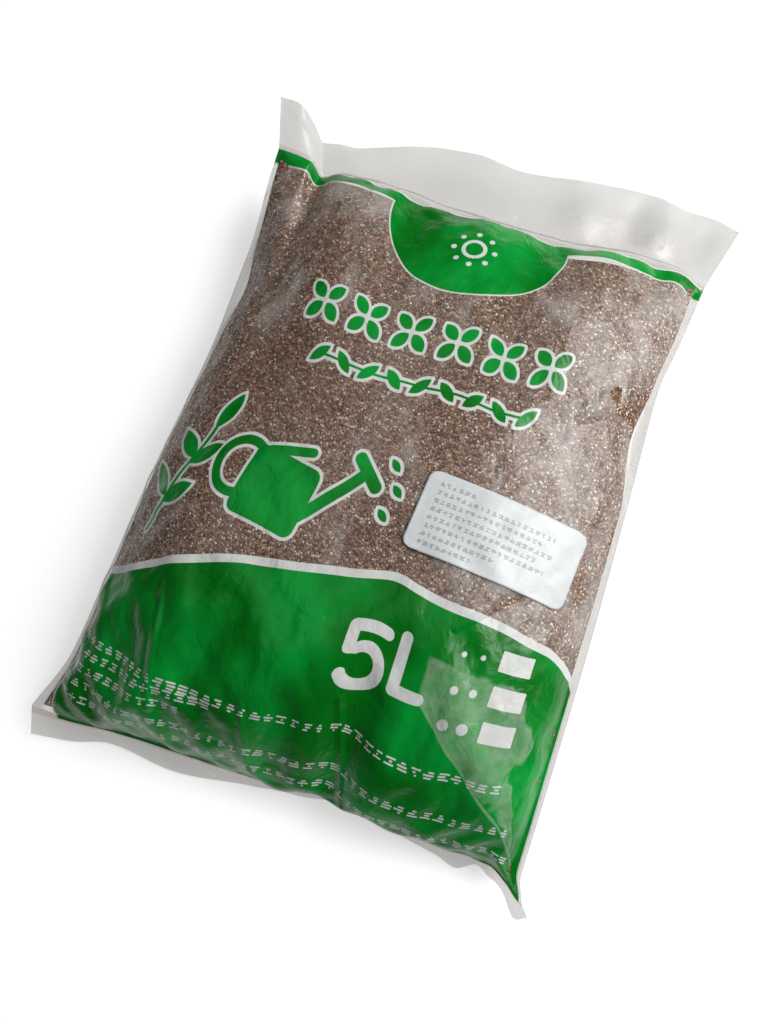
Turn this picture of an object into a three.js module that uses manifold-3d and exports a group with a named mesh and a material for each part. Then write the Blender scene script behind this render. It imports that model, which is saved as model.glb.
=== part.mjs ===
import * as THREE from 'three';
import { mergeVertices } from 'three/addons/utils/BufferGeometryUtils.js';
import Module from 'manifold-3d';

const wasm = await Module();
wasm.setup();
const { Manifold } = wasm;

// The tube film before it is filled, in mm
const FLAT_WIDTH = 300;
const FLAT_LENGTH = 418;
const FILM = 0.1;
// Two plies lying together with the air between them
const PLIES = 0.5;
const TAIL_LENGTH = 15;
const SEAL_WIDTH = 4;
const HEADER_LENGTH = 45;

// The filled bag lying on its back
const FILLED_HEIGHT = 76;
const BACK_DEPTH = 62;
const FILL_GAP = 0.5;
const OVERHANG = 7;
const GATHER_HEIGHT = 4;
// Rounding where the back turns down on to the floor
const FLOOR_ROUNDING = 3;
// Rounding of the sharp folds in the front
const FOLD_ROUNDING = 5;

// Vent holes in the back, near the top seal
const VENT_DIAMETER = 3;
const VENT_PITCH = 45;
const VENT_COUNT = 3;
const VENT_FROM_SEAL = 9;

// The stuck-on label
const LABEL_LENGTH = 86;
const LABEL_WIDTH = 43;
const LABEL_THICKNESS = 0.25;
const LABEL_GAP = 0.3;
const LABEL_CORNER = 5;
const LABEL_TURN = -4.5;
const LABEL_ACROSS = 0.47;
const LABEL_ALONG = -0.056;

// The grid that is laid on the film, in cells
const CELLS_ACROSS = 28;
const CELLS_BODY = 26;
const CELLS_TAIL = 2;
const CELLS_HEADER = 4;

const half = FLAT_WIDTH / 2;
const TURN = Math.PI / 180;

// The four lines that bound the filled body. Each point is x in shares of half
// the flat width, y in shares of the flat length, z in shares of the height
const LEFT_CREASE = [
  [-1.05, -0.440, 0.17],
  [-0.95, -0.355, 0.28],
  [-0.90, -0.245, 0.42],
  [-0.87, -0.095, 0.46],
  [-0.82, 0.155, 0.46],
  [-0.82, 0.255, 0.46],
  [-0.84, 0.380, 0.51],
  [-0.83, 0.410, 0.58],
];
const RIGHT_CREASE = [
  [0.91, -0.465, 0.11],
  [0.88, -0.430, 0.17],
  [0.88, -0.330, 0.33],
  [0.88, -0.170, 0.42],
  [0.87, 0.065, 0.42],
  [0.86, 0.205, 0.42],
  [0.89, 0.290, 0.39],
  [0.92, 0.385, 0.28],
];
const BOTTOM_SEAL = [
  [-1.05, -0.440, 0.17],
  [-0.95, -0.440, 0.14],
  [-0.50, -0.430, 0.15],
  [-0.03, -0.430, 0.18],
  [0.15, -0.420, 0.21],
  [0.25, -0.425, 0.21],
  [0.44, -0.430, 0.18],
  [0.75, -0.430, 0.19],
  [0.84, -0.445, 0.17],
  [0.91, -0.465, 0.11],
];
const TOP_SEAL = [
  [-0.83, 0.410, 0.58],
  [-0.69, 0.400, 0.56],
  [-0.65, 0.400, 0.38],
  [-0.56, 0.410, 0.40],
  [-0.32, 0.405, 0.44],
  [-0.10, 0.395, 0.43],
  [0.35, 0.390, 0.39],
  [0.66, 0.400, 0.35],
  [0.79, 0.400, 0.31],
  [0.92, 0.385, 0.28],
];
// From here on, a place across the bag runs from -1 at the left crease to 1 at
// the right. These give the way from a seal to the cut edge beyond it: the
// place across, then x, y and z in shares of the header's or tail's length
const HEADER_LIE = [
  [-1.00, -0.10, 0.55, 0.30],
  [-0.93, -0.08, 0.60, 0.27],
  [-0.82, -0.18, 0.58, 0.05],
  [-0.72, -0.18, 0.50, 0.00],
  [-0.62, -0.17, 0.49, -0.12],
  [-0.50, -0.15, 0.60, -0.18],
  [-0.37, -0.13, 0.75, -0.20],
  [-0.20, -0.09, 0.95, -0.25],
  [-0.07, -0.05, 1.03, -0.30],
  [0.10, -0.02, 0.99, -0.33],
  [0.42, 0.07, 1.10, -0.32],
  [0.64, 0.13, 1.06, -0.34],
  [0.80, 0.18, 0.98, -0.35],
  [1.00, 0.25, 1.01, -0.30],
];
const TAIL_LIE = [
  [-1.00, 0.18, -1.07, -0.46],
  [-0.84, 0.22, -0.84, -0.45],
  [-0.70, 0.22, -0.55, -0.47],
  [-0.45, 0.29, -0.88, -0.63],
  [-0.14, 0.36, -0.42, -0.73],
  [0.05, 0.40, -0.17, -0.74],
  [0.30, 0.50, -0.20, -0.90],
  [0.57, 0.57, -0.46, -0.79],
  [0.65, 0.56, -0.67, -0.80],
  [0.73, 0.48, -0.29, -0.63],
  [0.79, 0.40, -0.51, -0.43],
  [0.86, 0.35, -0.67, -0.39],
  [0.95, 0.23, -0.91, -0.38],
  [1.00, 0.32, -0.40, -0.22],
];
// How the filled section meets its rims: how far out it stays flat, and how
// steeply it then falls
const SIDE_FULLNESS = [3, 0.6];
const BOTTOM_FULLNESS = [5, 0.52];
const TOP_FULLNESS = [4.6, 0.58];
// Shares of the body's length from a seal to the height of its gathers and to
// the height of its overhang
const GATHER_REACH = 0.065;
const OVERHANG_REACH = 0.045;
// Width of the empty crease beyond the fill, in shares of half the width,
// from the bottom seal at 0 to the top seal at 1
const LEFT_FIN = [
  [0.00, 0.05],
  [0.10, 0.03],
  [0.45, 0.02],
  [0.66, 0.03],
  [0.76, 0.09],
  [0.84, 0.05],
  [1.00, 0.04],
];
const RIGHT_FIN = [
  [0.00, 0.09],
  [0.12, 0.05],
  [0.35, 0.05],
  [0.60, 0.04],
  [0.72, 0.08],
  [0.82, 0.04],
  [1.00, 0.06],
];
// Height of the front over the floor at the middle of the bag, as a share
const CROWN = [
  [0.00, 0.86],
  [0.12, 0.97],
  [0.28, 1.00],
  [0.50, 0.97],
  [0.72, 0.91],
  [0.88, 0.86],
  [1.00, 0.78],
];
// How far the front hangs out over the bottom seal, from left to right
const OVERHANG_ACROSS = [
  [-1.0, 0.0],
  [-0.5, 0.2],
  [-0.1, 0.5],
  [0.25, 1.0],
  [0.55, 0.9],
  [0.8, 0.3],
  [1.0, 0.0],
];
// Gathers that run in from the seals: place across, width, share of height
const BOTTOM_GATHERS = [
  [-0.78, 0.09, -0.7],
  [-0.60, 0.09, 0.5],
  [-0.38, 0.10, -0.4],
  [-0.12, 0.11, 0.4],
  [0.22, 0.07, -1.0],
  [0.42, 0.12, 0.6],
  [0.66, 0.08, -0.4],
];
const TOP_GATHERS = [
  [-0.74, 0.07, -1.5],
  [-0.52, 0.12, 0.6],
  [-0.24, 0.10, -0.3],
  [0.06, 0.14, 0.5],
  [0.34, 0.09, -0.5],
  [0.58, 0.10, 0.8],
  [0.80, 0.07, -0.8],
];
// Sharp folds: where each starts and ends on plan, then how steeply the film
// falls away on its right
const FOLDS = [
  [0.36, -0.19, 0.86, -0.43, 0.34],
  [-0.94, -0.38, -0.70, -0.20, -0.16],
  [-0.64, 0.35, -0.72, 0.12, 0.18],
];
// Soft swells and dents: place across and along, their reach, share of height
const SWELLS = [
  [-0.45, 0.80, 0.20, 0.12, 0.035],
  [-0.60, 0.62, 0.16, 0.10, -0.035],
  [0.10, 0.72, 0.30, 0.10, -0.02],
  [0.55, 0.84, 0.22, 0.07, 0.03],
  [0.70, 0.62, 0.18, 0.09, -0.045],
  [0.50, 0.40, 0.22, 0.12, 0.02],
  [-0.65, 0.34, 0.20, 0.10, 0.03],
  [-0.35, 0.16, 0.25, 0.07, -0.03],
  [-0.70, 0.13, 0.14, 0.06, -0.05],
  [0.05, 0.20, 0.22, 0.08, 0.025],
];
// Waves in the header between the seal and its cut edge
const HEADER_WAVES = [
  [-0.60, 0.10, 0.05],
  [-0.30, 0.14, -0.04],
  [0.08, 0.16, 0.05],
  [0.42, 0.10, 0.09],
  [0.60, 0.07, -0.07],
  [0.74, 0.07, 0.09],
  [0.90, 0.06, -0.04],
];

// A smooth run through a table of values
function along(table, at) {
  const last = table.length - 1;
  let k = 0;
  while (k < last - 1 && at > table[k + 1][0]) k += 1;
  const [a, b] = [table[k], table[k + 1]];
  const span = b[0] - a[0];
  const t = Math.min(1, Math.max(0, (at - a[0]) / span));
  const slope = (from, to, i) => (to[i] - from[i]) / (to[0] - from[0]);
  return a.slice(1).map((_, n) => {
    const i = n + 1;
    const here = slope(a, b, i);
    const before = k > 0 ? slope(table[k - 1], a, i) : here;
    const after = k < last - 1 ? slope(b, table[k + 2], i) : here;
    const m0 = before * here > 0 ? (2 * before * here) / (before + here) : 0;
    const m1 = after * here > 0 ? (2 * after * here) / (after + here) : 0;
    const t2 = t * t;
    const t3 = t2 * t;
    return (2 * t3 - 3 * t2 + 1) * a[i] + (t3 - 2 * t2 + t) * span * m0
      + (3 * t2 - 2 * t3) * b[i] + (t3 - t2) * span * m1;
  });
}
const lerp = (a, b, t) => a + (b - a) * t;
const mix = (p, q, t) => p.map((value, i) => lerp(value, q[i], t));
const inMm = ([x, y, z]) => [x * half, y * FLAT_LENGTH, z * FILLED_HEIGHT];
// A bounding line in mm, each point led by its share of the way from `from`
// to `to`, measured along the line itself
function line(points, from, to) {
  const places = points.map(inMm);
  let run = 0;
  const runs = places.map((p, k) => {
    if (k > 0) run += Math.hypot(...p.map((value, i) => value - places[k - 1][i]));
    return run;
  });
  return places.map((p, k) => [lerp(from, to, runs[k] / run), ...p]);
}
const leftCrease = line(LEFT_CREASE, 0, 1);
const rightCrease = line(RIGHT_CREASE, 0, 1);
const bottomSeal = line(BOTTOM_SEAL, -1, 1);
const topSeal = line(TOP_SEAL, -1, 1);
// The floor holds up what would hang below it, with a rounded turn on to it
function onFloor(z) {
  const near = Math.max(FLOOR_ROUNDING - Math.abs(z), 0);
  return Math.max(z, 0) + (near * near) / (4 * FLOOR_ROUNDING);
}

// How full the section is, from 0 at the rim to 1 in the middle
const fullness = (away, [flatness, steepness]) => (
  Math.pow(1 - Math.pow(Math.abs(away), flatness), steepness));
const acrossFull = (q) => fullness(q, SIDE_FULLNESS);
const alongFull = (w) => (
  fullness(2 * w - 1, w < 0.5 ? BOTTOM_FULLNESS : TOP_FULLNESS));
// A bump that peaks at `reach` from a seal and fades away beyond it
const nearSeal = (w, reach) => (w / reach) * Math.exp(1 - w / reach);
function gathers(list, u) {
  return list.reduce((sum, [at, width, share]) => {
    const d = (u - at) / width;
    return sum + share * Math.exp(-d * d);
  }, 0);
}
// How far the sharp folds lower the front at any place on plan
function foldDrop(x, y) {
  return FOLDS.reduce((sum, [x0, y0, x1, y1, slope]) => {
    const [ax, ay] = [x0 * half, y0 * FLAT_LENGTH];
    const [dx, dy] = [x1 * half - ax, y1 * FLAT_LENGTH - ay];
    const length = Math.hypot(dx, dy);
    const side = Math.sign(slope) * ((y - ay) * dx - (x - ax) * dy) / -length;
    const share = ((x - ax) * dx + (y - ay) * dy) / (length * length);
    const fade = THREE.MathUtils.smoothstep(share, -0.15, 0.35)
      * (1 - THREE.MathUtils.smoothstep(share, 1.05, 1.5));
    const past = (side + Math.hypot(side, FOLD_ROUNDING)) / 2;
    const capped = length * 0.4 * Math.tanh(past / (length * 0.4));
    return sum + Math.abs(slope) * capped * fade;
  }, 0);
}
const swell = (u, w) => SWELLS.reduce((sum, [at, up, across, reach, share]) => {
  const d = Math.hypot((u - at) / across, (w - up) / reach);
  return sum + share * FILLED_HEIGHT * Math.exp(-d * d);
}, 0);

// The sheet halfway between front and back, in the body
const straight = (from, to, u) => mix(from, to, (u + 1) / 2);
function middle(u, w) {
  const left = along(leftCrease, w);
  const right = along(rightCrease, w);
  const ends = [
    [bottomSeal, Math.pow(1 - w, 5)],
    [topSeal, Math.pow(w, 5)],
  ];
  const base = straight(left, right, u);
  for (const [table, weight] of ends) {
    const chord = straight(along(table, -1), along(table, 1), u);
    along(table, u).forEach((value, i) => {
      base[i] += weight * (value - chord[i]);
    });
  }
  return base;
}

// Stations across: the crease, the foot of the fin, then over the fill
function stationsAcross(w) {
  const left = along(LEFT_FIN, w)[0];
  const right = along(RIGHT_FIN, w)[0];
  const inner = CELLS_ACROSS - 2;
  const list = [{ u: -1, q: -1 }];
  for (let k = 0; k <= inner; k += 1) {
    const even = (2 * k) / inner - 1;
    const round = -Math.cos((Math.PI * k) / inner);
    const q = lerp(even, round, 0.5);
    list.push({ u: lerp(-1 + left, 1 - right, (q + 1) / 2), q });
  }
  list.push({ u: 1, q: 1 });
  return list;
}

// The two plies in the body, from the bottom seal to the top seal
function bodyRow(w) {
  return stationsAcross(w).map(({ u, q }) => {
    const [x, y, z] = middle(u, w);
    const full = acrossFull(q) * alongFull(w);
    const crown = along(CROWN, w)[0] * FILLED_HEIGHT;
    const ridge = GATHER_HEIGHT * acrossFull(q) * (
      gathers(BOTTOM_GATHERS, u) * nearSeal(w, GATHER_REACH)
      + gathers(TOP_GATHERS, u) * nearSeal(1 - w, GATHER_REACH));
    const lean = OVERHANG * nearSeal(w, OVERHANG_REACH)
      * along(OVERHANG_ACROSS, u)[0];
    const soft = (swell(u, w) - foldDrop(x, y)) * Math.min(1, full * 1.5);
    const top = Math.max(z + (crown - z) * full + ridge + soft, z) + PLIES / 2;
    const back = onFloor(z - PLIES / 2 - BACK_DEPTH * full);
    return { front: [x, y - lean, top], back: [x, y, Math.min(back, top - PLIES)] };
  });
}
// A row of the header or the tail, some share of the way from its seal to its
// cut edge
function flapRow(seal, lie, length, waves, share, w) {
  return stationsAcross(w).map(({ u }) => {
    const way = along(lie, u).map((value) => value * length * share);
    const [x, y, sloped] = along(seal, u).map((value, i) => value + way[i]);
    const wave = gathers(waves, u) * FILLED_HEIGHT * 4 * share * (1 - share);
    const z = Math.max(sloped + wave, PLIES / 2);
    return { front: [x, y, z + PLIES / 2], back: [x, y, z - PLIES / 2] };
  });
}
const tailRow = (share) => (
  flapRow(bottomSeal, TAIL_LIE, TAIL_LENGTH, [], share, 0));
const headerRow = (share) => (
  flapRow(topSeal, HEADER_LIE, HEADER_LENGTH, HEADER_WAVES, share, 1));

// All rows from the cut edge of the tail to the cut edge of the header
const rows = [];
const tailSeal = SEAL_WIDTH / TAIL_LENGTH;
const headerSeal = SEAL_WIDTH / HEADER_LENGTH;
for (let k = 0; k <= CELLS_TAIL; k += 1) {
  rows.push(tailRow(lerp(1, tailSeal, k / CELLS_TAIL)));
}
const firstBody = rows.length;
for (let k = 0; k <= CELLS_BODY; k += 1) {
  const even = k / CELLS_BODY;
  const round = (1 - Math.cos(Math.PI * even)) / 2;
  rows.push(bodyRow(lerp(even, round, 0.6)));
}
const lastBody = rows.length - 1;
for (let k = 0; k <= CELLS_HEADER; k += 1) {
  rows.push(headerRow(lerp(headerSeal, 1, k / CELLS_HEADER)));
}

// Move the whole grid so that the bag stands over its own centre
const low = new THREE.Vector3(Infinity, Infinity, Infinity);
const high = low.clone().negate();
for (const row of rows) {
  for (const { front, back } of row) {
    for (const p of [front, back]) {
      low.min(new THREE.Vector3(...p));
      high.max(new THREE.Vector3(...p));
    }
  }
}
const shift = [-(low.x + high.x) / 2, -(low.y + high.y) / 2, -low.z];
for (const row of rows) {
  for (const cell of row) {
    cell.front = cell.front.map((value, i) => value + shift[i]);
    cell.back = cell.back.map((value, i) => value + shift[i]);
  }
}

// Normals of one ply, each pointing out of the bag
function normals(side) {
  const sign = side === 'front' ? 1 : -1;
  const at = (j, i) => new THREE.Vector3(...rows[j][i][side]);
  return rows.map((row, j) => row.map((_, i) => {
    const j0 = Math.max(j - 1, 0);
    const j1 = Math.min(j + 1, rows.length - 1);
    const i0 = Math.max(i - 1, 0);
    const i1 = Math.min(i + 1, row.length - 1);
    const across = at(j, i1).sub(at(j, i0));
    const up = at(j1, i).sub(at(j0, i));
    return across.cross(up).normalize().multiplyScalar(sign);
  }));
}
const outward = { front: normals('front'), back: normals('back') };
const inset = (side, j, i, depth) => {
  const p = new THREE.Vector3(...rows[j][i][side]);
  return p.addScaledVector(outward[side][j][i], -depth).toArray();
};

// A closed body from two plies of points that share a rim. The cells are split
// the same way in every body, so that skins one inside another keep apart
function closed(front, back, rim, firstRow = 0, firstColumn = 0) {
  const points = [];
  const faces = [];
  const add = (p) => points.push(p) - 1;
  const across = front[0].length - 1;
  const up = front.length - 1;
  const onRim = (j, i) => j === 0 || i === 0 || j === up || i === across;
  const top = front.map((row) => row.map(add));
  const base = back.map((row, j) => row.map((p, i) => (
    rim === 'sharp' && onRim(j, i) ? top[j][i] : add(p))));
  for (let j = 0; j < up; j += 1) {
    for (let i = 0; i < across; i += 1) {
      const leftHalf = i + firstColumn < CELLS_ACROSS / 2;
      const lowHalf = j + firstRow < firstBody + CELLS_BODY / 2;
      for (const [net, turned] of [[top, false], [base, true]]) {
        const [a, b] = [net[j][i], net[j][i + 1]];
        const [d, c] = [net[j + 1][i], net[j + 1][i + 1]];
        const split = leftHalf === lowHalf
          ? [[a, b, d], [b, c, d]]
          : [[a, b, c], [a, c, d]];
        for (const [p, q, r] of split) faces.push(turned ? [p, r, q] : [p, q, r]);
      }
    }
  }
  if (rim === 'blunt') {
    const loop = [];
    for (let i = 0; i < across; i += 1) loop.push([0, i]);
    for (let j = 0; j < up; j += 1) loop.push([j, across]);
    for (let i = across; i > 0; i -= 1) loop.push([up, i]);
    for (let j = up; j > 0; j -= 1) loop.push([j, 0]);
    loop.forEach(([j, i], k) => {
      const [n, m] = loop[(k + 1) % loop.length];
      faces.push([base[j][i], base[n][m], top[j][i]]);
      faces.push([base[n][m], top[n][m], top[j][i]]);
    });
  }
  return new Manifold(new wasm.Mesh({
    numProp: 3,
    vertProperties: new Float32Array(points.flat()),
    triVerts: new Uint32Array(faces.flat()),
  }));
}

// The film: outer skin less the hollow less the vents
const outer = closed(
  rows.map((row) => row.map((cell) => cell.front)),
  rows.map((row) => row.map((cell) => cell.back)),
  'blunt');
const bodyRows = [];
for (let j = firstBody; j <= lastBody; j += 1) bodyRows.push(j);
const fillColumns = [];
for (let i = 1; i < CELLS_ACROSS; i += 1) fillColumns.push(i);
const rimPoint = (j, i) => mix(rows[j][i].front, rows[j][i].back, 0.5);

function ply(side, depth, edge) {
  return bodyRows.map((j, m) => fillColumns.map((i, n) => {
    const endRow = m === 0 || m === bodyRows.length - 1;
    const endColumn = n === 0 || n === fillColumns.length - 1;
    if (!endRow && !endColumn) return inset(side, j, i, depth);
    const jn = m === 0 ? j + 1 : m === bodyRows.length - 1 ? j - 1 : j;
    const inn = n === 0 ? i + 1 : n === fillColumns.length - 1 ? i - 1 : i;
    return mix(rimPoint(j, i), rimPoint(jn, inn), edge);
  }));
}
// How far the edges of the hollow and of the fill stand back from the seals,
// in shares of one cell
const HOLLOW_SETBACK = 0.05;
const FILL_SETBACK = 0.3;
const hollow = closed(
  ply('front', FILM, HOLLOW_SETBACK),
  ply('back', FILM, HOLLOW_SETBACK),
  'sharp', firstBody, 1);
const fill = closed(
  ply('front', FILM + FILL_GAP, FILL_SETBACK),
  ply('back', FILM + FILL_GAP, FILL_SETBACK),
  'sharp', firstBody, 1);

function vents() {
  const bodyLength = FLAT_LENGTH - TAIL_LENGTH - HEADER_LENGTH;
  const w = 1 - VENT_FROM_SEAL / bodyLength;
  const radius = VENT_DIAMETER / 2;
  const holes = [];
  for (let k = 0; k < VENT_COUNT; k += 1) {
    const u = ((k - (VENT_COUNT - 1) / 2) * VENT_PITCH) / half;
    const [x, y, z] = middle(u, w);
    const depth = z + shift[2];
    const pin = new THREE.CylinderGeometry(radius, radius, depth, 12);
    pin.rotateX(Math.PI / 2);
    pin.translate(x + shift[0], y + shift[1], depth / 2);
    holes.push(fromThree(pin));
  }
  return holes;
}
const film = vents().reduce(
  (solid, hole) => solid.subtract(hole), outer.subtract(hollow));

// The label: a slice of the skin lifted clear of the film
function label() {
  const lift = (height) => rows.map((row, j) => row.map((_, i) => (
    inset('front', j, i, -height))));
  const [row0, column0] = [firstBody + 2, 3];
  const cut = (net) => net.slice(row0, lastBody - 1)
    .map((row) => row.slice(column0, -column0));
  const skin = closed(
    cut(lift(LABEL_GAP + LABEL_THICKNESS)), cut(lift(LABEL_GAP)),
    'blunt', row0, column0);
  const outline = new THREE.Shape();
  const [l, w, r] = [LABEL_LENGTH / 2, LABEL_WIDTH / 2, LABEL_CORNER];
  outline.moveTo(-l + r, -w);
  outline.lineTo(l - r, -w).absarc(l - r, -w + r, r, -Math.PI / 2, 0);
  outline.lineTo(l, w - r).absarc(l - r, w - r, r, 0, Math.PI / 2);
  outline.lineTo(-l + r, w).absarc(-l + r, w - r, r, Math.PI / 2, Math.PI);
  outline.lineTo(-l, -w + r).absarc(-l + r, -w + r, r, Math.PI, Math.PI * 1.5);
  const geometry = new THREE.ExtrudeGeometry(outline, {
    depth: FILLED_HEIGHT * 1.5, bevelEnabled: false, curveSegments: 4,
  });
  geometry.rotateZ(LABEL_TURN * TURN);
  geometry.translate(LABEL_ACROSS * half + shift[0],
    LABEL_ALONG * FLAT_LENGTH + shift[1], 0);
  return skin.intersect(fromThree(geometry));
}
function fromThree(geometry) {
  geometry.deleteAttribute('normal');
  geometry.deleteAttribute('uv');
  const welded = mergeVertices(geometry, 1e-4);
  return new Manifold(new wasm.Mesh({
    numProp: 3,
    vertProperties: new Float32Array(welded.attributes.position.array),
    triVerts: new Uint32Array(welded.index.array),
  }));
}

function mesh(name, solid, look) {
  const { vertProperties, triVerts } = solid.getMesh();
  const geometry = new THREE.BufferGeometry();
  geometry.setAttribute('position', new THREE.BufferAttribute(
    new Float32Array(vertProperties), 3));
  geometry.setIndex(new THREE.BufferAttribute(new Uint32Array(triVerts), 1));
  geometry.computeVertexNormals();
  const body = new THREE.Mesh(geometry, new THREE.MeshStandardMaterial(look));
  body.name = name;
  return body;
}

const bag = new THREE.Group();
bag.name = 'bag_of_vermiculite';
bag.add(mesh('bag_film', film, {
  color: 0xd0cdc8, roughness: 0.25, metalness: 0, transparent: true, opacity: 0.35,
}));
bag.add(mesh('vermiculite_fill', fill, {
  color: 0x867365, roughness: 0.95, metalness: 0,
}));
bag.add(mesh('label', label(), {
  color: 0xdde2e3, roughness: 0.45, metalness: 0,
}));

export default bag;
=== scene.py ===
from functools import reduce

import bpy
import numpy as np
from mathutils import Matrix, Vector
from mathutils.bvhtree import BVHTree

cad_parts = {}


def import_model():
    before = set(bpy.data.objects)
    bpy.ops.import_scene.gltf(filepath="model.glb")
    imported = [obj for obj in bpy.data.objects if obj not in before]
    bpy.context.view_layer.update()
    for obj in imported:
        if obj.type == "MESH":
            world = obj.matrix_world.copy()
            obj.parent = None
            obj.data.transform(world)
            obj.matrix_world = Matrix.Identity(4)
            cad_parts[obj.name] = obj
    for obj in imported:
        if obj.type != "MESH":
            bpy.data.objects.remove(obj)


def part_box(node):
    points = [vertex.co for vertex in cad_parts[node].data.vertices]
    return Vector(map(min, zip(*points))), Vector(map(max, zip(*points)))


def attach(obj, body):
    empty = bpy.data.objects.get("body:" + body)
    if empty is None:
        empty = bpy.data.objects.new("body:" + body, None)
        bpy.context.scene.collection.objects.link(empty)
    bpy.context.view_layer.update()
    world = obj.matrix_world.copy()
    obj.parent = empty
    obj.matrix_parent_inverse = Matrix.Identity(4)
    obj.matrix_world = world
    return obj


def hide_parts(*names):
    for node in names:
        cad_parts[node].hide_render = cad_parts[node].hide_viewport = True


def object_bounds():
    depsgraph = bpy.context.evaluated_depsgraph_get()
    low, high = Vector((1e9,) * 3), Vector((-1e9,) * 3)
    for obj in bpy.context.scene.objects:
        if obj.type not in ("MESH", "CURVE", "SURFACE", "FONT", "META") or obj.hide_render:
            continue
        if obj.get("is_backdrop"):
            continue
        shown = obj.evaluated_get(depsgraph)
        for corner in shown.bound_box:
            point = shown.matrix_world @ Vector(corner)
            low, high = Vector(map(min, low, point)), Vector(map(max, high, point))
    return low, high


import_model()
cad_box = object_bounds()

MM = 0.001

# The tube film before it is filled, in mm
FLAT_WIDTH = 300
FLAT_LENGTH = 418
PLIES = 0.5
TAIL_LENGTH = 15
SEAL_WIDTH = 4
HEADER_LENGTH = 45
HALF = FLAT_WIDTH / 2
BODY_TOP = FLAT_LENGTH - HEADER_LENGTH
BODY_LENGTH = BODY_TOP - TAIL_LENGTH

# The filled bag lying on its back, in mm
FILLED_HEIGHT = 76
BACK_DEPTH = 62
OVERHANG = 7
GATHER_HEIGHT = 4
FLOOR_ROUNDING = 3
FOLD_ROUNDING = 5
# Shares of a sharp fold's length: where it sets in, where it dies out, and how
# far to its side the film falls away
FOLD_START = (-0.15, 0.35)
FOLD_END = (1.05, 1.5)
FOLD_REACH = 0.4

# The stuck-on label, in mm
LABEL_LENGTH = 86
LABEL_WIDTH = 43
LABEL_THICKNESS = 0.25
LABEL_GAP = 0.3
LABEL_CORNER = 5
# Its turn in degrees, and its middle in shares of half the flat width and of the
# flat length
LABEL_TURN = -4.5
LABEL_ACROSS = 0.47
LABEL_ALONG = -0.056

# Cells of the film's grid
FIN_CELLS = 5
INNER_CELLS = 214
BODY_CELLS = 252
TAIL_CELLS = 10
HEADER_CELLS = 32
SEAL_CELLS = 3
# The plain back takes every second point
BACK_STEP = 2

# How far the rows crowd towards the seals, from 0 to 1
CROWDING = 0.6

# How far the fill lies inside the film, in mm, and how far short of the seals it stops
FILL_INSET = 1.0
FILL_SHORT = 3

# The four lines that bound the filled body: x in shares of half the flat
# width, y in shares of the flat length, z in shares of the height
LEFT_CREASE = [
    [-1.05, -0.440, 0.17],
    [-0.95, -0.355, 0.28],
    [-0.90, -0.245, 0.42],
    [-0.87, -0.095, 0.46],
    [-0.82, 0.155, 0.46],
    [-0.82, 0.255, 0.46],
    [-0.84, 0.380, 0.51],
    [-0.83, 0.410, 0.58],
]
RIGHT_CREASE = [
    [0.91, -0.465, 0.11],
    [0.88, -0.430, 0.17],
    [0.88, -0.330, 0.33],
    [0.88, -0.170, 0.42],
    [0.87, 0.065, 0.42],
    [0.86, 0.205, 0.42],
    [0.89, 0.290, 0.39],
    [0.92, 0.385, 0.28],
]
BOTTOM_SEAL = [
    [-1.05, -0.440, 0.17],
    [-0.95, -0.440, 0.14],
    [-0.50, -0.430, 0.15],
    [-0.03, -0.430, 0.18],
    [0.15, -0.420, 0.21],
    [0.25, -0.425, 0.21],
    [0.44, -0.430, 0.18],
    [0.75, -0.430, 0.19],
    [0.84, -0.445, 0.17],
    [0.91, -0.465, 0.11],
]
TOP_SEAL = [
    [-0.83, 0.410, 0.58],
    [-0.69, 0.400, 0.56],
    [-0.65, 0.400, 0.38],
    [-0.56, 0.410, 0.40],
    [-0.32, 0.405, 0.44],
    [-0.10, 0.395, 0.43],
    [0.35, 0.390, 0.39],
    [0.66, 0.400, 0.35],
    [0.79, 0.400, 0.31],
    [0.92, 0.385, 0.28],
]
# From a seal to the cut edge beyond it: place across from -1 at the left
# crease to 1 at the right, then x, y and z in shares of the flap's length
HEADER_LIE = [
    [-1.00, -0.10, 0.55, 0.30],
    [-0.93, -0.08, 0.60, 0.27],
    [-0.82, -0.18, 0.58, 0.05],
    [-0.72, -0.18, 0.50, 0.00],
    [-0.62, -0.17, 0.49, -0.12],
    [-0.50, -0.15, 0.60, -0.18],
    [-0.37, -0.13, 0.75, -0.20],
    [-0.20, -0.09, 0.95, -0.25],
    [-0.07, -0.05, 1.03, -0.30],
    [0.10, -0.02, 0.99, -0.33],
    [0.42, 0.07, 1.10, -0.32],
    [0.64, 0.13, 1.06, -0.34],
    [0.80, 0.18, 0.98, -0.35],
    [1.00, 0.25, 1.01, -0.30],
]
TAIL_LIE = [
    [-1.00, 0.18, -1.07, -0.46],
    [-0.84, 0.22, -0.84, -0.45],
    [-0.70, 0.22, -0.55, -0.47],
    [-0.45, 0.29, -0.88, -0.63],
    [-0.14, 0.36, -0.42, -0.73],
    [0.05, 0.40, -0.17, -0.74],
    [0.30, 0.50, -0.20, -0.90],
    [0.57, 0.57, -0.46, -0.79],
    [0.65, 0.56, -0.67, -0.80],
    [0.73, 0.48, -0.29, -0.63],
    [0.79, 0.40, -0.51, -0.43],
    [0.86, 0.35, -0.67, -0.39],
    [0.95, 0.23, -0.91, -0.38],
    [1.00, 0.32, -0.40, -0.22],
]
# How far out the filled section stays flat, and how steeply it then falls
SIDE_FULLNESS = (3, 0.6)
BOTTOM_FULLNESS = (5, 0.52)
TOP_FULLNESS = (4.6, 0.58)
GATHER_REACH = 0.065
OVERHANG_REACH = 0.045
# How quickly the line of a seal is lost in the body
SEAL_FADE = 5
# Swells and folds reach their full height before the section does, by this factor
SOFT_SOONER = 1.5
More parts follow.
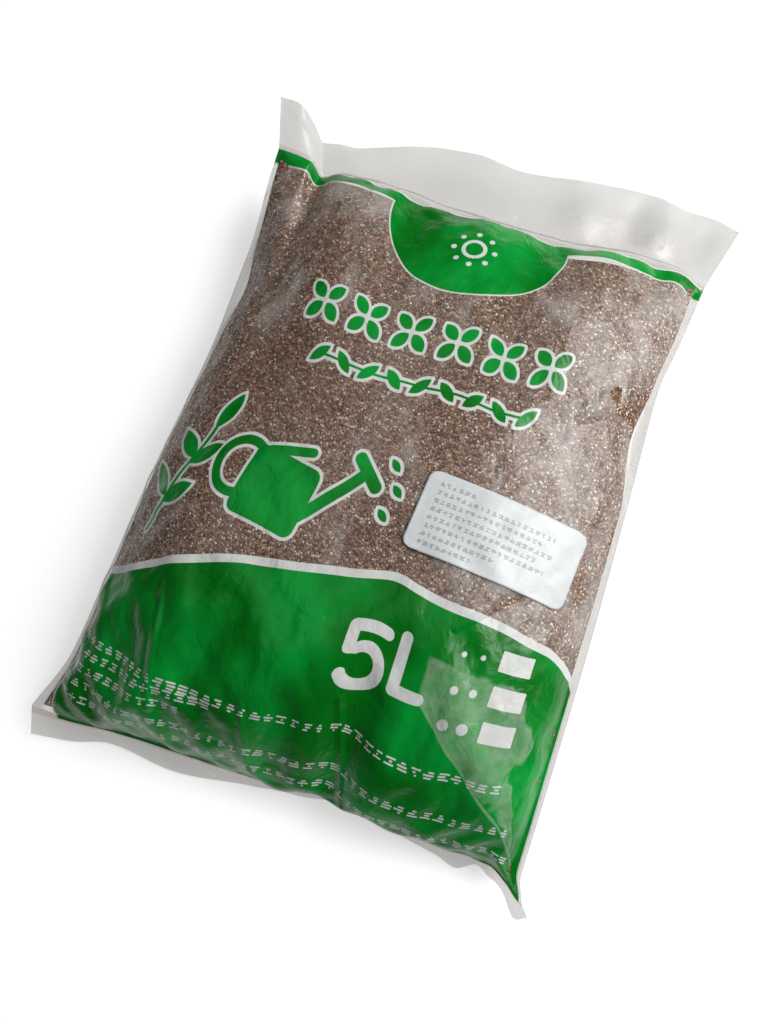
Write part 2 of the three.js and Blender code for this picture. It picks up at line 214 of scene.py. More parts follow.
# Width of the empty crease beyond the fill, from the bottom seal to the top
LEFT_FIN = [
    [0.00, 0.035],
    [0.10, 0.020],
    [0.45, 0.012],
    [0.66, 0.020],
    [0.76, 0.050],
    [0.84, 0.025],
    [1.00, 0.020],
]
RIGHT_FIN = [
    [0.00, 0.070],
    [0.12, 0.040],
    [0.35, 0.035],
    [0.60, 0.025],
    [0.72, 0.060],
    [0.82, 0.025],
    [1.00, 0.035],
]
CROWN = [
    [0.00, 0.86],
    [0.12, 0.97],
    [0.28, 1.00],
    [0.50, 0.97],
    [0.72, 0.91],
    [0.88, 0.86],
    [1.00, 0.78],
]
OVERHANG_ACROSS = [
    [-1.0, 0.0],
    [-0.5, 0.2],
    [-0.1, 0.5],
    [0.25, 1.0],
    [0.55, 0.9],
    [0.8, 0.3],
    [1.0, 0.0],
]
# Gathers that run in from the seals: place across, width, share of height
BOTTOM_GATHERS = [
    [-0.78, 0.09, -0.7],
    [-0.60, 0.09, 0.5],
    [-0.38, 0.10, -0.4],
    [-0.12, 0.11, 0.4],
    [0.22, 0.07, -1.0],
    [0.42, 0.12, 0.6],
    [0.66, 0.08, -0.4],
]
TOP_GATHERS = [
    [-0.74, 0.07, -1.5],
    [-0.52, 0.12, 0.6],
    [-0.24, 0.10, -0.3],
    [0.06, 0.14, 0.5],
    [0.34, 0.09, -0.5],
    [0.58, 0.10, 0.8],
    [0.80, 0.07, -0.8],
]
# Sharp folds: start and end on plan, then how steeply the film falls away
FOLDS = [
    [0.36, -0.19, 0.86, -0.43, 0.34],
    [-0.94, -0.38, -0.70, -0.20, -0.16],
    [-0.64, 0.35, -0.72, 0.12, 0.18],
]
# Soft swells and dents: place across and along, their reach, share of height
SWELLS = [
    [-0.45, 0.80, 0.20, 0.12, 0.035],
    [-0.60, 0.62, 0.16, 0.10, -0.035],
    [0.10, 0.72, 0.30, 0.10, -0.02],
    [0.55, 0.84, 0.22, 0.07, 0.03],
    [0.70, 0.62, 0.18, 0.09, -0.045],
    [0.50, 0.40, 0.22, 0.12, 0.02],
    [-0.65, 0.34, 0.20, 0.10, 0.03],
    [-0.35, 0.16, 0.25, 0.07, -0.03],
    [-0.70, 0.13, 0.14, 0.06, -0.05],
    [0.05, 0.20, 0.22, 0.08, 0.025],
]
HEADER_WAVES = [
    [-0.60, 0.10, 0.05],
    [-0.30, 0.14, -0.04],
    [0.08, 0.16, 0.05],
    [0.42, 0.10, 0.09],
    [0.60, 0.07, -0.07],
    [0.74, 0.07, 0.09],
    [0.90, 0.06, -0.04],
]


# The bag's form, as arrays over the film's grid
def along(table, at):
    """A smooth run through a table of values, at many places."""
    table = np.array(table, float)
    places, values = table[:, 0], table[:, 1:]
    spans = np.diff(places)
    slopes = np.diff(values, axis=0) / spans[:, None]
    same_way = slopes[:-1] * slopes[1:]
    total = np.where(same_way > 0, slopes[:-1] + slopes[1:], 1)
    inner = np.where(same_way > 0, 2 * same_way / total, 0)
    tangents = np.vstack([slopes[:1], inner, slopes[-1:]])
    k = np.clip(np.searchsorted(places, at, side="right") - 1, 0, len(spans) - 1)
    t = np.clip((at - places[k]) / spans[k], 0, 1)[..., None]
    span = spans[k][..., None]
    rise = (2 * t**3 - 3 * t**2 + 1) * values[k] + (3 * t**2 - 2 * t**3) * values[k + 1]
    bend = (t**3 - 2 * t**2 + t) * tangents[k] + (t**3 - t**2) * tangents[k + 1]
    return rise + bend * span


def line(points, first, last):
    """A bounding line in mm, each point led by its share of the way along it."""
    places = np.array(points) * (HALF, FLAT_LENGTH, FILLED_HEIGHT)
    steps = np.linalg.norm(np.diff(places, axis=0), axis=1)
    run = np.concatenate([[0], np.cumsum(steps)]) / steps.sum()
    return np.column_stack([first + (last - first) * run, places])


left_crease = line(LEFT_CREASE, 0, 1)
right_crease = line(RIGHT_CREASE, 0, 1)
bottom_seal = line(BOTTOM_SEAL, -1, 1)
top_seal = line(TOP_SEAL, -1, 1)


def on_floor(z):
    """The floor holds up what would hang below it, with a rounded turn on to it."""
    near = np.maximum(FLOOR_ROUNDING - np.abs(z), 0)
    return np.maximum(z, 0) + near * near / (4 * FLOOR_ROUNDING)


def fullness(away, flatness, steepness):
    return (1 - np.minimum(np.abs(away), 1) ** flatness) ** steepness


def along_full(w):
    low = fullness(2 * w - 1, *BOTTOM_FULLNESS)
    high = fullness(2 * w - 1, *TOP_FULLNESS)
    return np.where(w < 0.5, low, high)


def near_seal(w, reach):
    """A bump that peaks at reach from a seal and fades away beyond it."""
    return w / reach * np.exp(1 - w / reach)


def gathers(table, u):
    return sum(share * np.exp(-(((u - at) / width) ** 2)) for at, width, share in table)


def smoothstep(value, low, high):
    t = np.clip((value - low) / (high - low), 0, 1)
    return t * t * (3 - 2 * t)


def fold_drop(x, y):
    """How far the sharp folds lower the front at any place on plan."""
    total = 0
    for x0, y0, x1, y1, slope in FOLDS:
        ax, ay = x0 * HALF, y0 * FLAT_LENGTH
        dx, dy = x1 * HALF - ax, y1 * FLAT_LENGTH - ay
        length = np.hypot(dx, dy)
        side = -np.sign(slope) * ((y - ay) * dx - (x - ax) * dy) / length
        share = ((x - ax) * dx + (y - ay) * dy) / length**2
        fade = smoothstep(share, *FOLD_START) * (1 - smoothstep(share, *FOLD_END))
        past = (side + np.hypot(side, FOLD_ROUNDING)) / 2
        reach = length * FOLD_REACH
        total = total + abs(slope) * reach * np.tanh(past / reach) * fade
    return total


def swell(u, w):
    total = 0
    for at, up, across, reach, share in SWELLS:
        away = ((u - at) / across) ** 2 + ((w - up) / reach) ** 2
        total = total + share * FILLED_HEIGHT * np.exp(-away)
    return total


def straight(first, last, u):
    return first + (last - first) * ((u + 1) / 2)[..., None]


def middle(u, w):
    """The sheet halfway between front and back, in the body."""
    base = straight(along(left_crease, w), along(right_crease, w), u)
    for table, weight in ((bottom_seal, (1 - w) ** SEAL_FADE), (top_seal, w**SEAL_FADE)):
        chord = straight(table[0, 1:], table[-1, 1:], u)
        base = base + weight[..., None] * (along(table, u) - chord)
    return base


def stations_across(w, inner_cells=INNER_CELLS, fin_cells=FIN_CELLS):
    """Places across for each row: over the left fin, the fill and the right fin."""
    left = along(LEFT_FIN, w)
    right = along(RIGHT_FIN, w)
    step = np.linspace(0, 1, inner_cells + 1)
    q = ((2 * step - 1) - np.cos(np.pi * step)) / 2
    inner = (-1 + left) + (2 - left - right) * (q + 1) / 2
    fin = np.linspace(0, 1, fin_cells + 1)
    u = np.hstack([-1 + left * fin[:-1], inner, 1 - right * (1 - fin[1:])])
    ends = np.ones(fin_cells)
    return u, np.broadcast_to(np.concatenate([-ends, q, ends]), u.shape)


def stations_along(cells):
    even = np.linspace(0, 1, cells + 1)
    return even + CROWDING * ((1 - np.cos(np.pi * even)) / 2 - even)


def body(w, u, q):
    """Front and back of the filled part, from the bottom seal to the top seal."""
    w = np.broadcast_to(w.reshape(len(w), -1), u.shape)
    x, y, z = np.moveaxis(middle(u, w), -1, 0)
    full = fullness(q, *SIDE_FULLNESS) * along_full(w)
    crown = along(CROWN, w)[..., 0] * FILLED_HEIGHT
    low_ridge = gathers(BOTTOM_GATHERS, u) * near_seal(w, GATHER_REACH)
    high_ridge = gathers(TOP_GATHERS, u) * near_seal(1 - w, GATHER_REACH)
    ridge = GATHER_HEIGHT * fullness(q, *SIDE_FULLNESS) * (low_ridge + high_ridge)
    lean = OVERHANG * near_seal(w, OVERHANG_REACH) * along(OVERHANG_ACROSS, u)[..., 0]
    soft = (swell(u, w) - fold_drop(x, y)) * np.minimum(1, full * SOFT_SOONER)
    top = np.maximum(z + (crown - z) * full + ridge + soft, z) + PLIES / 2
    under = on_floor(z - PLIES / 2 - BACK_DEPTH * full)
    front = np.stack([x, y - lean, top], -1)
    back = np.stack([x, y, np.minimum(under, top - PLIES)], -1)
    return front, back


def flap(seal, lie, length, waves, share, u):
    """Rows of the header or the tail, some shares of the way to its cut edge."""
    share = share[:, None]
    way = along(lie, u) * length * share[..., None]
    x, y, z = np.moveaxis(along(seal, u) + way, -1, 0)
    wave = gathers(waves, u) * FILLED_HEIGHT * 4 * share * (1 - share) if waves else 0
    z = np.maximum(z + wave, PLIES / 2)
    return np.stack([x, y, z + PLIES / 2], -1), np.stack([x, y, z - PLIES / 2], -1)


def flap_shares(length, cells):
    """Shares from the cut edge in to the seal, then through the seal."""
    seal = SEAL_WIDTH / length
    flat = np.linspace(1, seal, cells + 1)
    return np.concatenate([flat, np.linspace(seal, 0, SEAL_CELLS + 1)[1:-1]])


def film_grid():
    """Both plies over the whole film, with the first and last body rows."""
    w = stations_along(BODY_CELLS)
    u, q = stations_across(w)
    tail = flap_shares(TAIL_LENGTH, TAIL_CELLS)
    header = flap_shares(HEADER_LENGTH, HEADER_CELLS)[::-1]
    low_u = np.repeat(u[:1], len(tail), 0)
    high_u = np.repeat(u[-1:], len(header), 0)
    parts = [
        flap(bottom_seal, TAIL_LIE, TAIL_LENGTH, [], tail, low_u),
        body(w, u, q),
        flap(top_seal, HEADER_LIE, HEADER_LENGTH, HEADER_WAVES, header, high_u),
    ]
    front = np.concatenate([part[0] for part in parts])
    back = np.concatenate([part[1] for part in parts])
    return front, back, len(tail), len(tail) + len(w) - 1


film_front, film_back, first_body, last_body = film_grid()
every = np.concatenate([film_front.reshape(-1, 3), film_back.reshape(-1, 3)])
cad_low, cad_high = (np.array(corner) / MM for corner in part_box("bag_film"))
shift = (cad_low + cad_high) / 2 - (every.min(0) + every.max(0)) / 2
shift[2] = cad_low[2] - every[:, 2].min()
film_front += shift
film_back += shift


def outward(points):
    """Normals of a ply, turned up out of the bag's front."""
    across = np.gradient(points, axis=1)
    up = np.gradient(points, axis=0)
    normal = np.cross(across, up)
    return normal / np.maximum(np.linalg.norm(normal, axis=-1, keepdims=True), 1e-9)


def flat_places(points):
    """Place of each point on the flat film, in mm across and up from the tail's edge."""
    across = np.linalg.norm(np.diff(points, axis=1), axis=-1)
    up = np.linalg.norm(np.diff(points, axis=0), axis=-1)
    s = np.pad(np.cumsum(across, 1), ((0, 0), (1, 0)))
    t = np.pad(np.cumsum(up, 0), ((1, 0), (0, 0)))
    s = (s / s[:, -1:] - 0.5) * FLAT_WIDTH
    low, high = t[first_body], t[last_body]
    seals = TAIL_LENGTH, FLAT_LENGTH - HEADER_LENGTH
    in_body = seals[0] + (t - low) / (high - low) * (seals[1] - seals[0])
    in_tail = t / low * seals[0]
    in_header = seals[1] + (t - high) / (t[-1] - high) * HEADER_LENGTH
    row = np.arange(len(points))[:, None]
    t = np.where(row < first_body, in_tail, np.where(row > last_body, in_header, in_body))
    return np.stack([s, t], -1)


# How far the film has slipped up under the top seal, at places across it
TOP_SLIP = [
    [-150, 0],
    [-127, -3],
    [-105, 4],
    [-90, 8],
    [-18, 13],
    [16, 11],
    [72, 16],
    [113, 12],
    [150, 3],
]
# Over this stretch of the film the slip grows from nothing, in mm
SLIP_STRETCH = (275, 345)


def printed_places(flat):
    """Where each point lies in the print, which slipped a little near the top seal."""
    slip = along(TOP_SLIP, flat[..., 0])[..., 0]
    weight = smoothstep(flat[..., 1], *SLIP_STRETCH)
    return np.stack([flat[..., 0], flat[..., 1] + slip * weight], -1)


# Creases: the film is longer and wider than its smooth form, so it buckles.
# Its spare length as shares, across and along: all over the body, then more near
# the bottom seal, at the sides and near the top seal
BODY_SPARE = [(0.003, 0.002), (0.015, 0.008), (0, 0.009), (0.011, 0.004)]
FLAP_SPARE = (0.0015, 0.0008)
SPARE_RANGE = (0.0005, 0.05)
# How far those reach: from the seals in flat lengths, and from the sides in mm
LOW_REACH = 0.22
HIGH_REACH = 0.10
SIDE_REACH = 18
# The spare length is uneven in patches: by what share, and over how many points
PATCHES = 0.5
PATCH_CELLS = 40
PATCH_SEED = 3
# The first small waves: how many points each spans, and its height in mm
START_WAVES = [(4, 0.8), (2, 0.5)]
# How far the film may sink below its smooth form, in mm
SINK_ON_FILL = 0.6
SINK_IN_FLAPS = 4
# Pairs of points on the grid: rows apart, columns apart, and how firmly held
NEAR_PAIRS = [(0, 1, 1.0), (1, 0, 1.0), (1, 1, 0.6), (1, -1, 0.6)]
STIFFNESS = 0.3
# Each round a pair makes up this share of its error, and a point keeps these
# shares of its last move and of its slide along the film
PULL = 0.22
CARRY = 0.9
SLIDE = 0.998
# Coarse to fine: every so many points, rounds, pull back to the smooth form
# and how many points a bend spans
PASSES = [(4, 500, 0.0008, 2), (2, 300, 0.0004, 4), (1, 120, 0.0002, 8)]


def pairs(values, up, across):
    """Views of the two ends of every pair that lies this far apart on the grid."""
    first, second = values[: len(values) - up], values[up:]
    if across > 0:
        return first[:, :-across], second[:, across:]
    if across < 0:
        return first[:, -across:], second[:, :across]
    return first, second


def settle(points, smooth, spare, held, lowest, rounds, pull_back, reach):
    """Let the film find its shape from its true lengths, over the fill."""
    normal = outward(smooth)
    springs = NEAR_PAIRS + [(0, reach, STIFFNESS), (reach, 0, STIFFNESS)]
    lengths = []
    for up, across, _ in springs:
        first, second = pairs(smooth, up, across)
        way = np.array([abs(across), up]) / np.hypot(across, up)
        extra = sum((pairs(spare, up, across)[end] * way**2).sum(-1) for end in (0, 1))
        lengths.append(np.linalg.norm(second - first, axis=-1) * (1 + extra / 2))
    before = points.copy()
    for _ in range(rounds):
        pull = np.zeros_like(points)
        for (up, across, firmness), length in zip(springs, lengths):
            first, second = pairs(points, up, across)
            gap = second - first
            share = firmness * PULL * (1 - length / np.linalg.norm(gap, axis=-1))
            move = gap * share[..., None]
            pull_first, pull_second = pairs(pull, up, across)
            pull_first += move
            pull_second -= move
        onward = points + CARRY * (points - before) + pull
        before = points
        offset = onward - smooth
        out = (offset * normal).sum(-1, keepdims=True)
        slide = (offset - out * normal) * SLIDE
        points = smooth + slide + np.maximum(out, lowest) * (1 - pull_back) * normal
        points = np.where(held, smooth, points)
    return points


def soft_noise(shape, cell, seed):
    """Smooth chance values over a grid, some points from one swell to the next."""
    counts = np.array(shape) // cell + 3
    values = np.random.default_rng(seed).standard_normal((*counts, 1))
    return finer(values, shape)[..., 0]


def finer(values, shape):
    """Values on a coarse grid read at the points of a fine one."""
    for axis, count in enumerate(shape):
        at = np.linspace(0, values.shape[axis] - 1, count)
        low = np.minimum(at.astype(int), values.shape[axis] - 2)
        share = (at - low).reshape([-1 if n == axis else 1 for n in range(3)])
        first = np.take(values, low, axis)
        values = first + (np.take(values, low + 1, axis) - first) * share
    return values


def spare_length(flat):
    """How much longer the film is than its smooth form, across and along."""
    s, t = flat[..., 0], flat[..., 1]
    from_low = (t - TAIL_LENGTH) / FLAT_LENGTH
    from_high = (FLAT_LENGTH - HEADER_LENGTH - t) / FLAT_LENGTH
    side = np.exp(-(((HALF - np.abs(s)) / SIDE_REACH) ** 2))
    low = np.exp(-((from_low / LOW_REACH) ** 2))
    high = np.exp(-((from_high / HIGH_REACH) ** 2))
    in_body = (from_low > 0) & (from_high > 0)
    spare = [
        np.where(in_body, body + more_low * low + more_side * side + more_high * high, in_flap)
        for body, more_low, more_side, more_high, in_flap in zip(*BODY_SPARE, FLAP_SPARE)
    ]
    patch = 1 + PATCHES * soft_noise(s.shape, PATCH_CELLS, PATCH_SEED)
    return np.clip(np.stack(spare, -1) * patch[..., None], *SPARE_RANGE)


def first_waves(smooth, seed):
    """Small chance waves, as moves off the film's smooth form."""
    shape = smooth.shape[:2]
    height = sum(
        high * soft_noise(shape, points, seed + number)
        for number, (points, high) in enumerate(START_WAVES)
    )
    return outward(smooth) * height[..., None]


def creased(smooth, flat, seed):
    """The film's front with its creases."""
    spare = spare_length(flat)
    held = np.zeros((*smooth.shape[:2], 1), bool)
    held[:, [0, -1]] = True
    lowest = np.full(held.shape, -SINK_ON_FILL)
    lowest[: first_body + 1] = -SINK_IN_FLAPS
    lowest[last_body:] = -SINK_IN_FLAPS
    moved = None
    for every_nth, rounds, pull_back, reach in PASSES:
        rows = slice(None, None, every_nth)
        base, edge = smooth[rows, rows], held[rows, rows].copy()
        for row in (first_body, last_body):
            edge[round(row / every_nth)] = True
        if moved is None:
            moved = first_waves(base, seed)
        start = base + finer(moved, base.shape[:2])
        moved = settle(start, base, spare[rows, rows], edge, lowest[rows, rows],
                       rounds, pull_back, reach) - base
    return smooth + moved


# Meshes from grids of points
def cells(rows, columns, first=0, turned=False):
    """The four corners of each cell of a grid whose points are numbered by row."""
    at = first + np.arange(rows * columns).reshape(rows, columns)
    corners = [at[:-1, :-1], at[:-1, 1:], at[1:, 1:], at[1:, :-1]]
    if turned:
        corners.reverse()
    return np.stack(corners, -1).reshape(-1, 4)


def mesh_piece(name, points, faces, flat=None):
    """A smooth mesh from points in mm, with the flat film's places as its UVs."""
    mesh = bpy.data.meshes.new(name)
    mesh.from_pydata((points * MM).tolist(), [], faces.tolist())
    mesh.polygons.foreach_set("use_smooth", np.ones(len(faces), bool))
    if flat is not None:
        layer = mesh.uv_layers.new(name="flat_film")
        layer.uv.foreach_set("vector", flat[faces.reshape(-1)].astype(np.float32).ravel())
    mesh.validate()
    piece = bpy.data.objects.new(name, mesh)
    bpy.context.scene.collection.objects.link(piece)
    return piece


def seen(piece, node, slot, *materials):
    """Put a piece in place of its solid, with its materials."""
    for material in materials:
        piece.data.materials.append(material)
    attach(piece, "root")
    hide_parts(node)
    return piece


def rim(rows, columns):
    """Numbers of the points round the edge of a grid, in order."""
    at = np.arange(rows * columns).reshape(rows, columns)
    return np.concatenate([at[0, :-1], at[:-1, -1], at[-1, :0:-1], at[:0:-1, 0]])


def closed_grid(top, base):
    """A closed body from two grids of points, with a wall round the rim."""
    rows, columns = top.shape[:2]
    count = rows * columns
    edge = rim(rows, columns)
    onward = np.roll(edge, -1)
    wall = np.stack([edge, edge + count, onward + count, onward], -1)
    faces = [cells(rows, columns), cells(rows, columns, count, turned=True), wall]
    return np.concatenate([top.reshape(-1, 3), base.reshape(-1, 3)]), np.concatenate(faces)


def film_piece(front, back, printed, *materials):
    """The whole film as one piece: printed front, clear back, joined at the creases."""
    rows, columns = front.shape[:2]
    back = back[::BACK_STEP, ::BACK_STEP]
    printed_back = printed[::BACK_STEP, ::BACK_STEP]
    back_rows, back_columns = back.shape[:2]
    count = rows * columns
    joined = np.arange(count + back_rows * back_columns)
    row = np.arange(back_rows)
    for front_column, back_column in ((0, 0), (columns - 1, back_columns - 1)):
        joined[count + row * back_columns + back_column] = row * BACK_STEP * columns + front_column
    under = joined[cells(back_rows, back_columns, count, turned=True)]
    over = cells(rows, columns)
    points = np.concatenate([front.reshape(-1, 3), back.reshape(-1, 3)])
    flat = np.concatenate([printed.reshape(-1, 2), printed_back.reshape(-1, 2)])
    piece = mesh_piece("printed_film", points, np.concatenate([over, under]), flat)
    slots = np.repeat([0, 1], [len(over), len(under)]).astype(np.int32)
    piece.data.polygons.foreach_set("material_index", slots)
    return seen(piece, "bag_film", "film", *materials)


# The camera, above the bag's lower right as in the photograph: its place in
# metres, the picture's right and down, and its sensor and lens in mm
CAMERA_PLACE = (0.1096, -0.1222, 0.5687)
PICTURE_RIGHT = (0.942, 0.315, -0.120)
PICTURE_DOWN = (0.284, -0.933, -0.221)
SENSOR_WIDTH = 36
LENS = 46.875


def view_from_above():
    right = Vector(PICTURE_RIGHT).normalized()
    down = Vector(PICTURE_DOWN)
    forward = right.cross(-down).normalized() * -1
    up = right.cross(forward).normalized()
    eye = bpy.data.cameras.new("camera")
    eye.sensor_fit = "HORIZONTAL"
    eye.sensor_width = SENSOR_WIDTH
    eye.lens = LENS
    camera = bpy.data.objects.new("camera", eye)
    turn = Matrix((right, up, -forward)).transposed()
    camera.matrix_world = Matrix.Translation(CAMERA_PLACE) @ turn.to_4x4()
    bpy.context.scene.collection.objects.link(camera)
    bpy.context.scene.camera = camera


def lamp(name, place, size, power):
    """A square lamp that shines at the bag."""
    light = bpy.data.lights.new(name, "AREA")
    light.size = size
    light.energy = power
    holder = bpy.data.objects.new(name, light)
    holder.location = place
    holder.rotation_euler = (-Vector(place)).to_track_quat("-Z", "Y").to_euler()
    bpy.context.scene.collection.objects.link(holder)


view_from_above()
bpy.context.scene.view_settings.view_transform = "Standard"


# Nodes
def feed(tree, socket, value):
    if isinstance(value, bpy.types.NodeSocket):
        tree.links.new(value, socket)
    else:
        socket.default_value = value


def add(tree, kind, inputs, **settings):
    """A node with its settings, and its inputs linked or set."""
    made = tree.nodes.new("ShaderNode" + kind)
    for name, value in settings.items():
        setattr(made, name, value)
    for name, value in inputs.items():
        feed(tree, made.inputs[name], value)
    return made


def out_of(tree, kind, inputs, **settings):
    """The first output of a new node."""
    return add(tree, kind, inputs, **settings).outputs[0]


def maths(tree, operation, *values):
    return out_of(tree, "Math", dict(enumerate(values)), operation=operation)


def plus(tree, first, second):
    return maths(tree, "ADD", first, second)


def minus(tree, first, second):
    return maths(tree, "SUBTRACT", first, second)


def times(tree, first, second):
    return maths(tree, "MULTIPLY", first, second)


def over(tree, first, second):
    return maths(tree, "DIVIDE", first, second)


def size_of(tree, value):
    return maths(tree, "ABSOLUTE", value)


def vectors(tree, operation, *values):
    made = add(tree, "VectorMath", dict(enumerate(values)), operation=operation)
    measured = operation in ("LENGTH", "DOT_PRODUCT", "DISTANCE")
    return made.outputs["Value" if measured else "Vector"]


def stretched(tree, place, by):
    return vectors(tree, "MULTIPLY", place, by)


def split(tree, place):
    """The three sides of a vector."""
    return add(tree, "SeparateXYZ", {"Vector": place}).outputs


# A long list is best given as a generator: a shader holds few values at a time,
# and so each is used up as soon as it is made
def least(tree, values):
    return reduce(lambda found, value: maths(tree, "MINIMUM", found, value), values)


def most(tree, values):
    return reduce(lambda found, value: maths(tree, "MAXIMUM", found, value), values)


def blend(tree, share, first, second):
    made = tree.nodes.new("ShaderNodeMix")
    made.data_type = "RGBA"
    feed(tree, made.inputs[0], share)
    feed(tree, made.inputs[6], first)
    feed(tree, made.inputs[7], second)
    return made.outputs[2]


def mixed(tree, share, first, second):
    """One shader, and the other where the share is 1."""
    return out_of(tree, "MixShader", {0: share, 1: first, 2: second})


def ramp(tree, value, given, wanted=(0, 1)):
    """A value carried from one range to another, and held at its ends."""
    return out_of(tree, "MapRange", {"Value": value, "From Min": given[0], "From Max": given[1],
                                     "To Min": wanted[0], "To Max": wanted[1]})


def noise(tree, place, scale, detail=2.0, roughness=0.5, output="Fac"):
    """Soft noise over a flat place."""
    made = add(tree, "TexNoise", {"Vector": place, "Scale": scale, "Detail": detail,
                                  "Roughness": roughness}, noise_dimensions="2D")
    return made.outputs[output]


def film_place(tree):
    """Where a point lies in the print, in mm on the flat film."""
    return out_of(tree, "UVMap", {}, uv_map="flat_film")


def effect(*results, **inputs):
    """Turn a function that yields its results into a node group with named sockets."""
    def group_of(build):
        tree = bpy.data.node_groups.new(build.__name__, "ShaderNodeTree")
        labels = [name.replace("_", " ") for name in inputs]
        for label, kind in zip(labels, inputs.values()):
            tree.interface.new_socket(label, in_out="INPUT", socket_type="NodeSocket" + kind)
        for label, kind in results:
            tree.interface.new_socket(label, in_out="OUTPUT", socket_type="NodeSocket" + kind)
        given = tree.nodes.new("NodeGroupInput").outputs
        result = tree.nodes.new("NodeGroupOutput").inputs
        found = build(tree, *(given[label] for label in labels))
        for (label, _), value in zip(results, found):
            feed(tree, result[label], value)
        return tree

    return group_of


def placed(tree, group, **inputs):
    """The outputs of an effect in a material. Its inputs are named with _ for a space."""
    made = tree.nodes.new("ShaderNodeGroup")
    made.node_tree = group
    for name, value in inputs.items():
        feed(tree, made.inputs[name.replace("_", " ")], value)
    return made.outputs


def use(tree, group, **inputs):
    return placed(tree, group, **inputs)[0]


# Shapes of the print, each as the distance to its edge in mm
DISTANCE = ("Distance", "Float")


def turned_place(tree, place, centre, turn):
    away = vectors(tree, "SUBTRACT", place, centre)
    return out_of(tree, "VectorRotate", {"Vector": away, "Angle": turn},
                  rotation_type="Z_AXIS", invert=True)


def nearest_share(tree, place, first, last):
    """The way from a line's start to a place, the line itself, and how far along it that is."""
    away = vectors(tree, "SUBTRACT", place, first)
    way = vectors(tree, "SUBTRACT", last, first)
    share = over(tree, vectors(tree, "DOT_PRODUCT", away, way),
                 vectors(tree, "DOT_PRODUCT", way, way))
    return away, way, ramp(tree, share, (0, 1))


def thickened(tree, off, thickness):
    return minus(tree, off, times(tree, thickness, 0.5))


@effect(DISTANCE, Place="Vector", Centre="Vector", Half_Size="Vector", Corner="Float", Turn="Float")
def rounded_box(tree, place, centre, half_size, corner, turn):
    folded = vectors(tree, "ABSOLUTE", turned_place(tree, place, centre, turn))
    inner = vectors(tree, "SUBTRACT", half_size, corner)
    past = stretched(tree, vectors(tree, "SUBTRACT", folded, inner), (1, 1, 0))
    sides = split(tree, past)
    inside = least(tree, [most(tree, sides[:2]), 0])
    outside = vectors(tree, "LENGTH", vectors(tree, "MAXIMUM", past, (0, 0, 0)))
    yield minus(tree, plus(tree, inside, outside), corner)


@effect(DISTANCE, Place="Vector", Centre="Vector", Half_Length="Float", Half_Width="Float",
        Turn="Float")
def leaf(tree, place, centre, length, width, turn):
    """Two arcs that meet in a point at both ends."""
    sides = split(tree, turned_place(tree, place, centre, turn))
    squares = plus(tree, times(tree, length, length), times(tree, width, width))
    radius = over(tree, times(tree, squares, 0.5), width)
    back = minus(tree, radius, width)
    height = plus(tree, size_of(tree, sides[1]), back)
    spoke = out_of(tree, "CombineXYZ", {"X": sides[0], "Y": height})
    yield minus(tree, vectors(tree, "LENGTH", spoke), radius)


@effect(DISTANCE, Place="Vector", Start="Vector", End="Vector", Thickness="Float")
def stroke(tree, place, start, end, thickness):
    """A straight stroke with round ends."""
    away, way, share = nearest_share(tree, place, start, end)
    nearest = stretched(tree, way, share)
    yield thickened(tree, vectors(tree, "DISTANCE", away, nearest), thickness)


@effect(DISTANCE, Place="Vector", Centre="Vector", Radius="Float", Thickness="Float")
def ring(tree, place, centre, radius, thickness):
    out = vectors(tree, "DISTANCE", place, centre)
    yield thickened(tree, size_of(tree, minus(tree, out, radius)), thickness)


@effect(("Place", "Vector"), ("Number", "Float"),
        Place="Vector", First="Vector", Last="Vector", Count="Float")
def row_of_places(tree, place, first, last, count):
    """The place measured from the nearest of several centres in a row."""
    away, way, share = nearest_share(tree, place, first, last)
    gaps = minus(tree, count, 1)
    number = maths(tree, "ROUND", times(tree, share, gaps))
    back = stretched(tree, way, over(tree, number, gaps))
    yield vectors(tree, "SUBTRACT", away, back)
    yield number


# Dashes: how many bars lie over each other, then in shares of the pitch where a
# dash has its middle, half its length and the gap from bar to bar, and a bar's
# half thickness as a share of that gap
BARS = 3
DASH_MIDDLE = (0.36, 0.56)
DASH_HALF_LENGTH = (0.06, 0.38)
BAR_GAP = 0.24
BAR_HALF = 0.28


@effect(DISTANCE, Place="Vector", Start="Vector", End="Vector", Pitch="Float")
def row_of_dashes(tree, place, start, end, pitch):
    """Small groups of short bars along a line."""
    away = vectors(tree, "SUBTRACT", place, start)
    way = vectors(tree, "SUBTRACT", end, start)
    unit = vectors(tree, "NORMALIZE", way)
    run = vectors(tree, "DOT_PRODUCT", away, unit)
    up = split(tree, vectors(tree, "CROSS_PRODUCT", unit, away))[2]
    number = maths(tree, "FLOOR", over(tree, run, pitch))
    bar_gap = times(tree, pitch, BAR_GAP)
    bar = maths(tree, "ROUND", over(tree, up, bar_gap))
    cell = out_of(tree, "CombineXYZ", {"X": number, "Y": bar})
    seed = vectors(tree, "ADD", start, cell)
    chance = add(tree, "TexWhiteNoise", {"Vector": seed}, noise_dimensions="3D").outputs["Color"]
    chances = add(tree, "SeparateColor", {"Color": chance}).outputs
    centre = times(tree, plus(tree, number, ramp(tree, chances[1], (0, 1), DASH_MIDDLE)), pitch)
    half = times(tree, pitch, ramp(tree, chances[0], (0, 0.8), DASH_HALF_LENGTH))
    across = minus(tree, size_of(tree, minus(tree, run, centre)), half)
    off = size_of(tree, minus(tree, up, times(tree, bar, bar_gap)))
    thin = minus(tree, off, times(tree, bar_gap, BAR_HALF))
    outside = minus(tree, size_of(tree, bar), BARS / 2)
    before = times(tree, run, -1)
    beyond = most(tree, [before, minus(tree, run, vectors(tree, "LENGTH", way))])
    yield most(tree, [across, thin, outside, beyond])


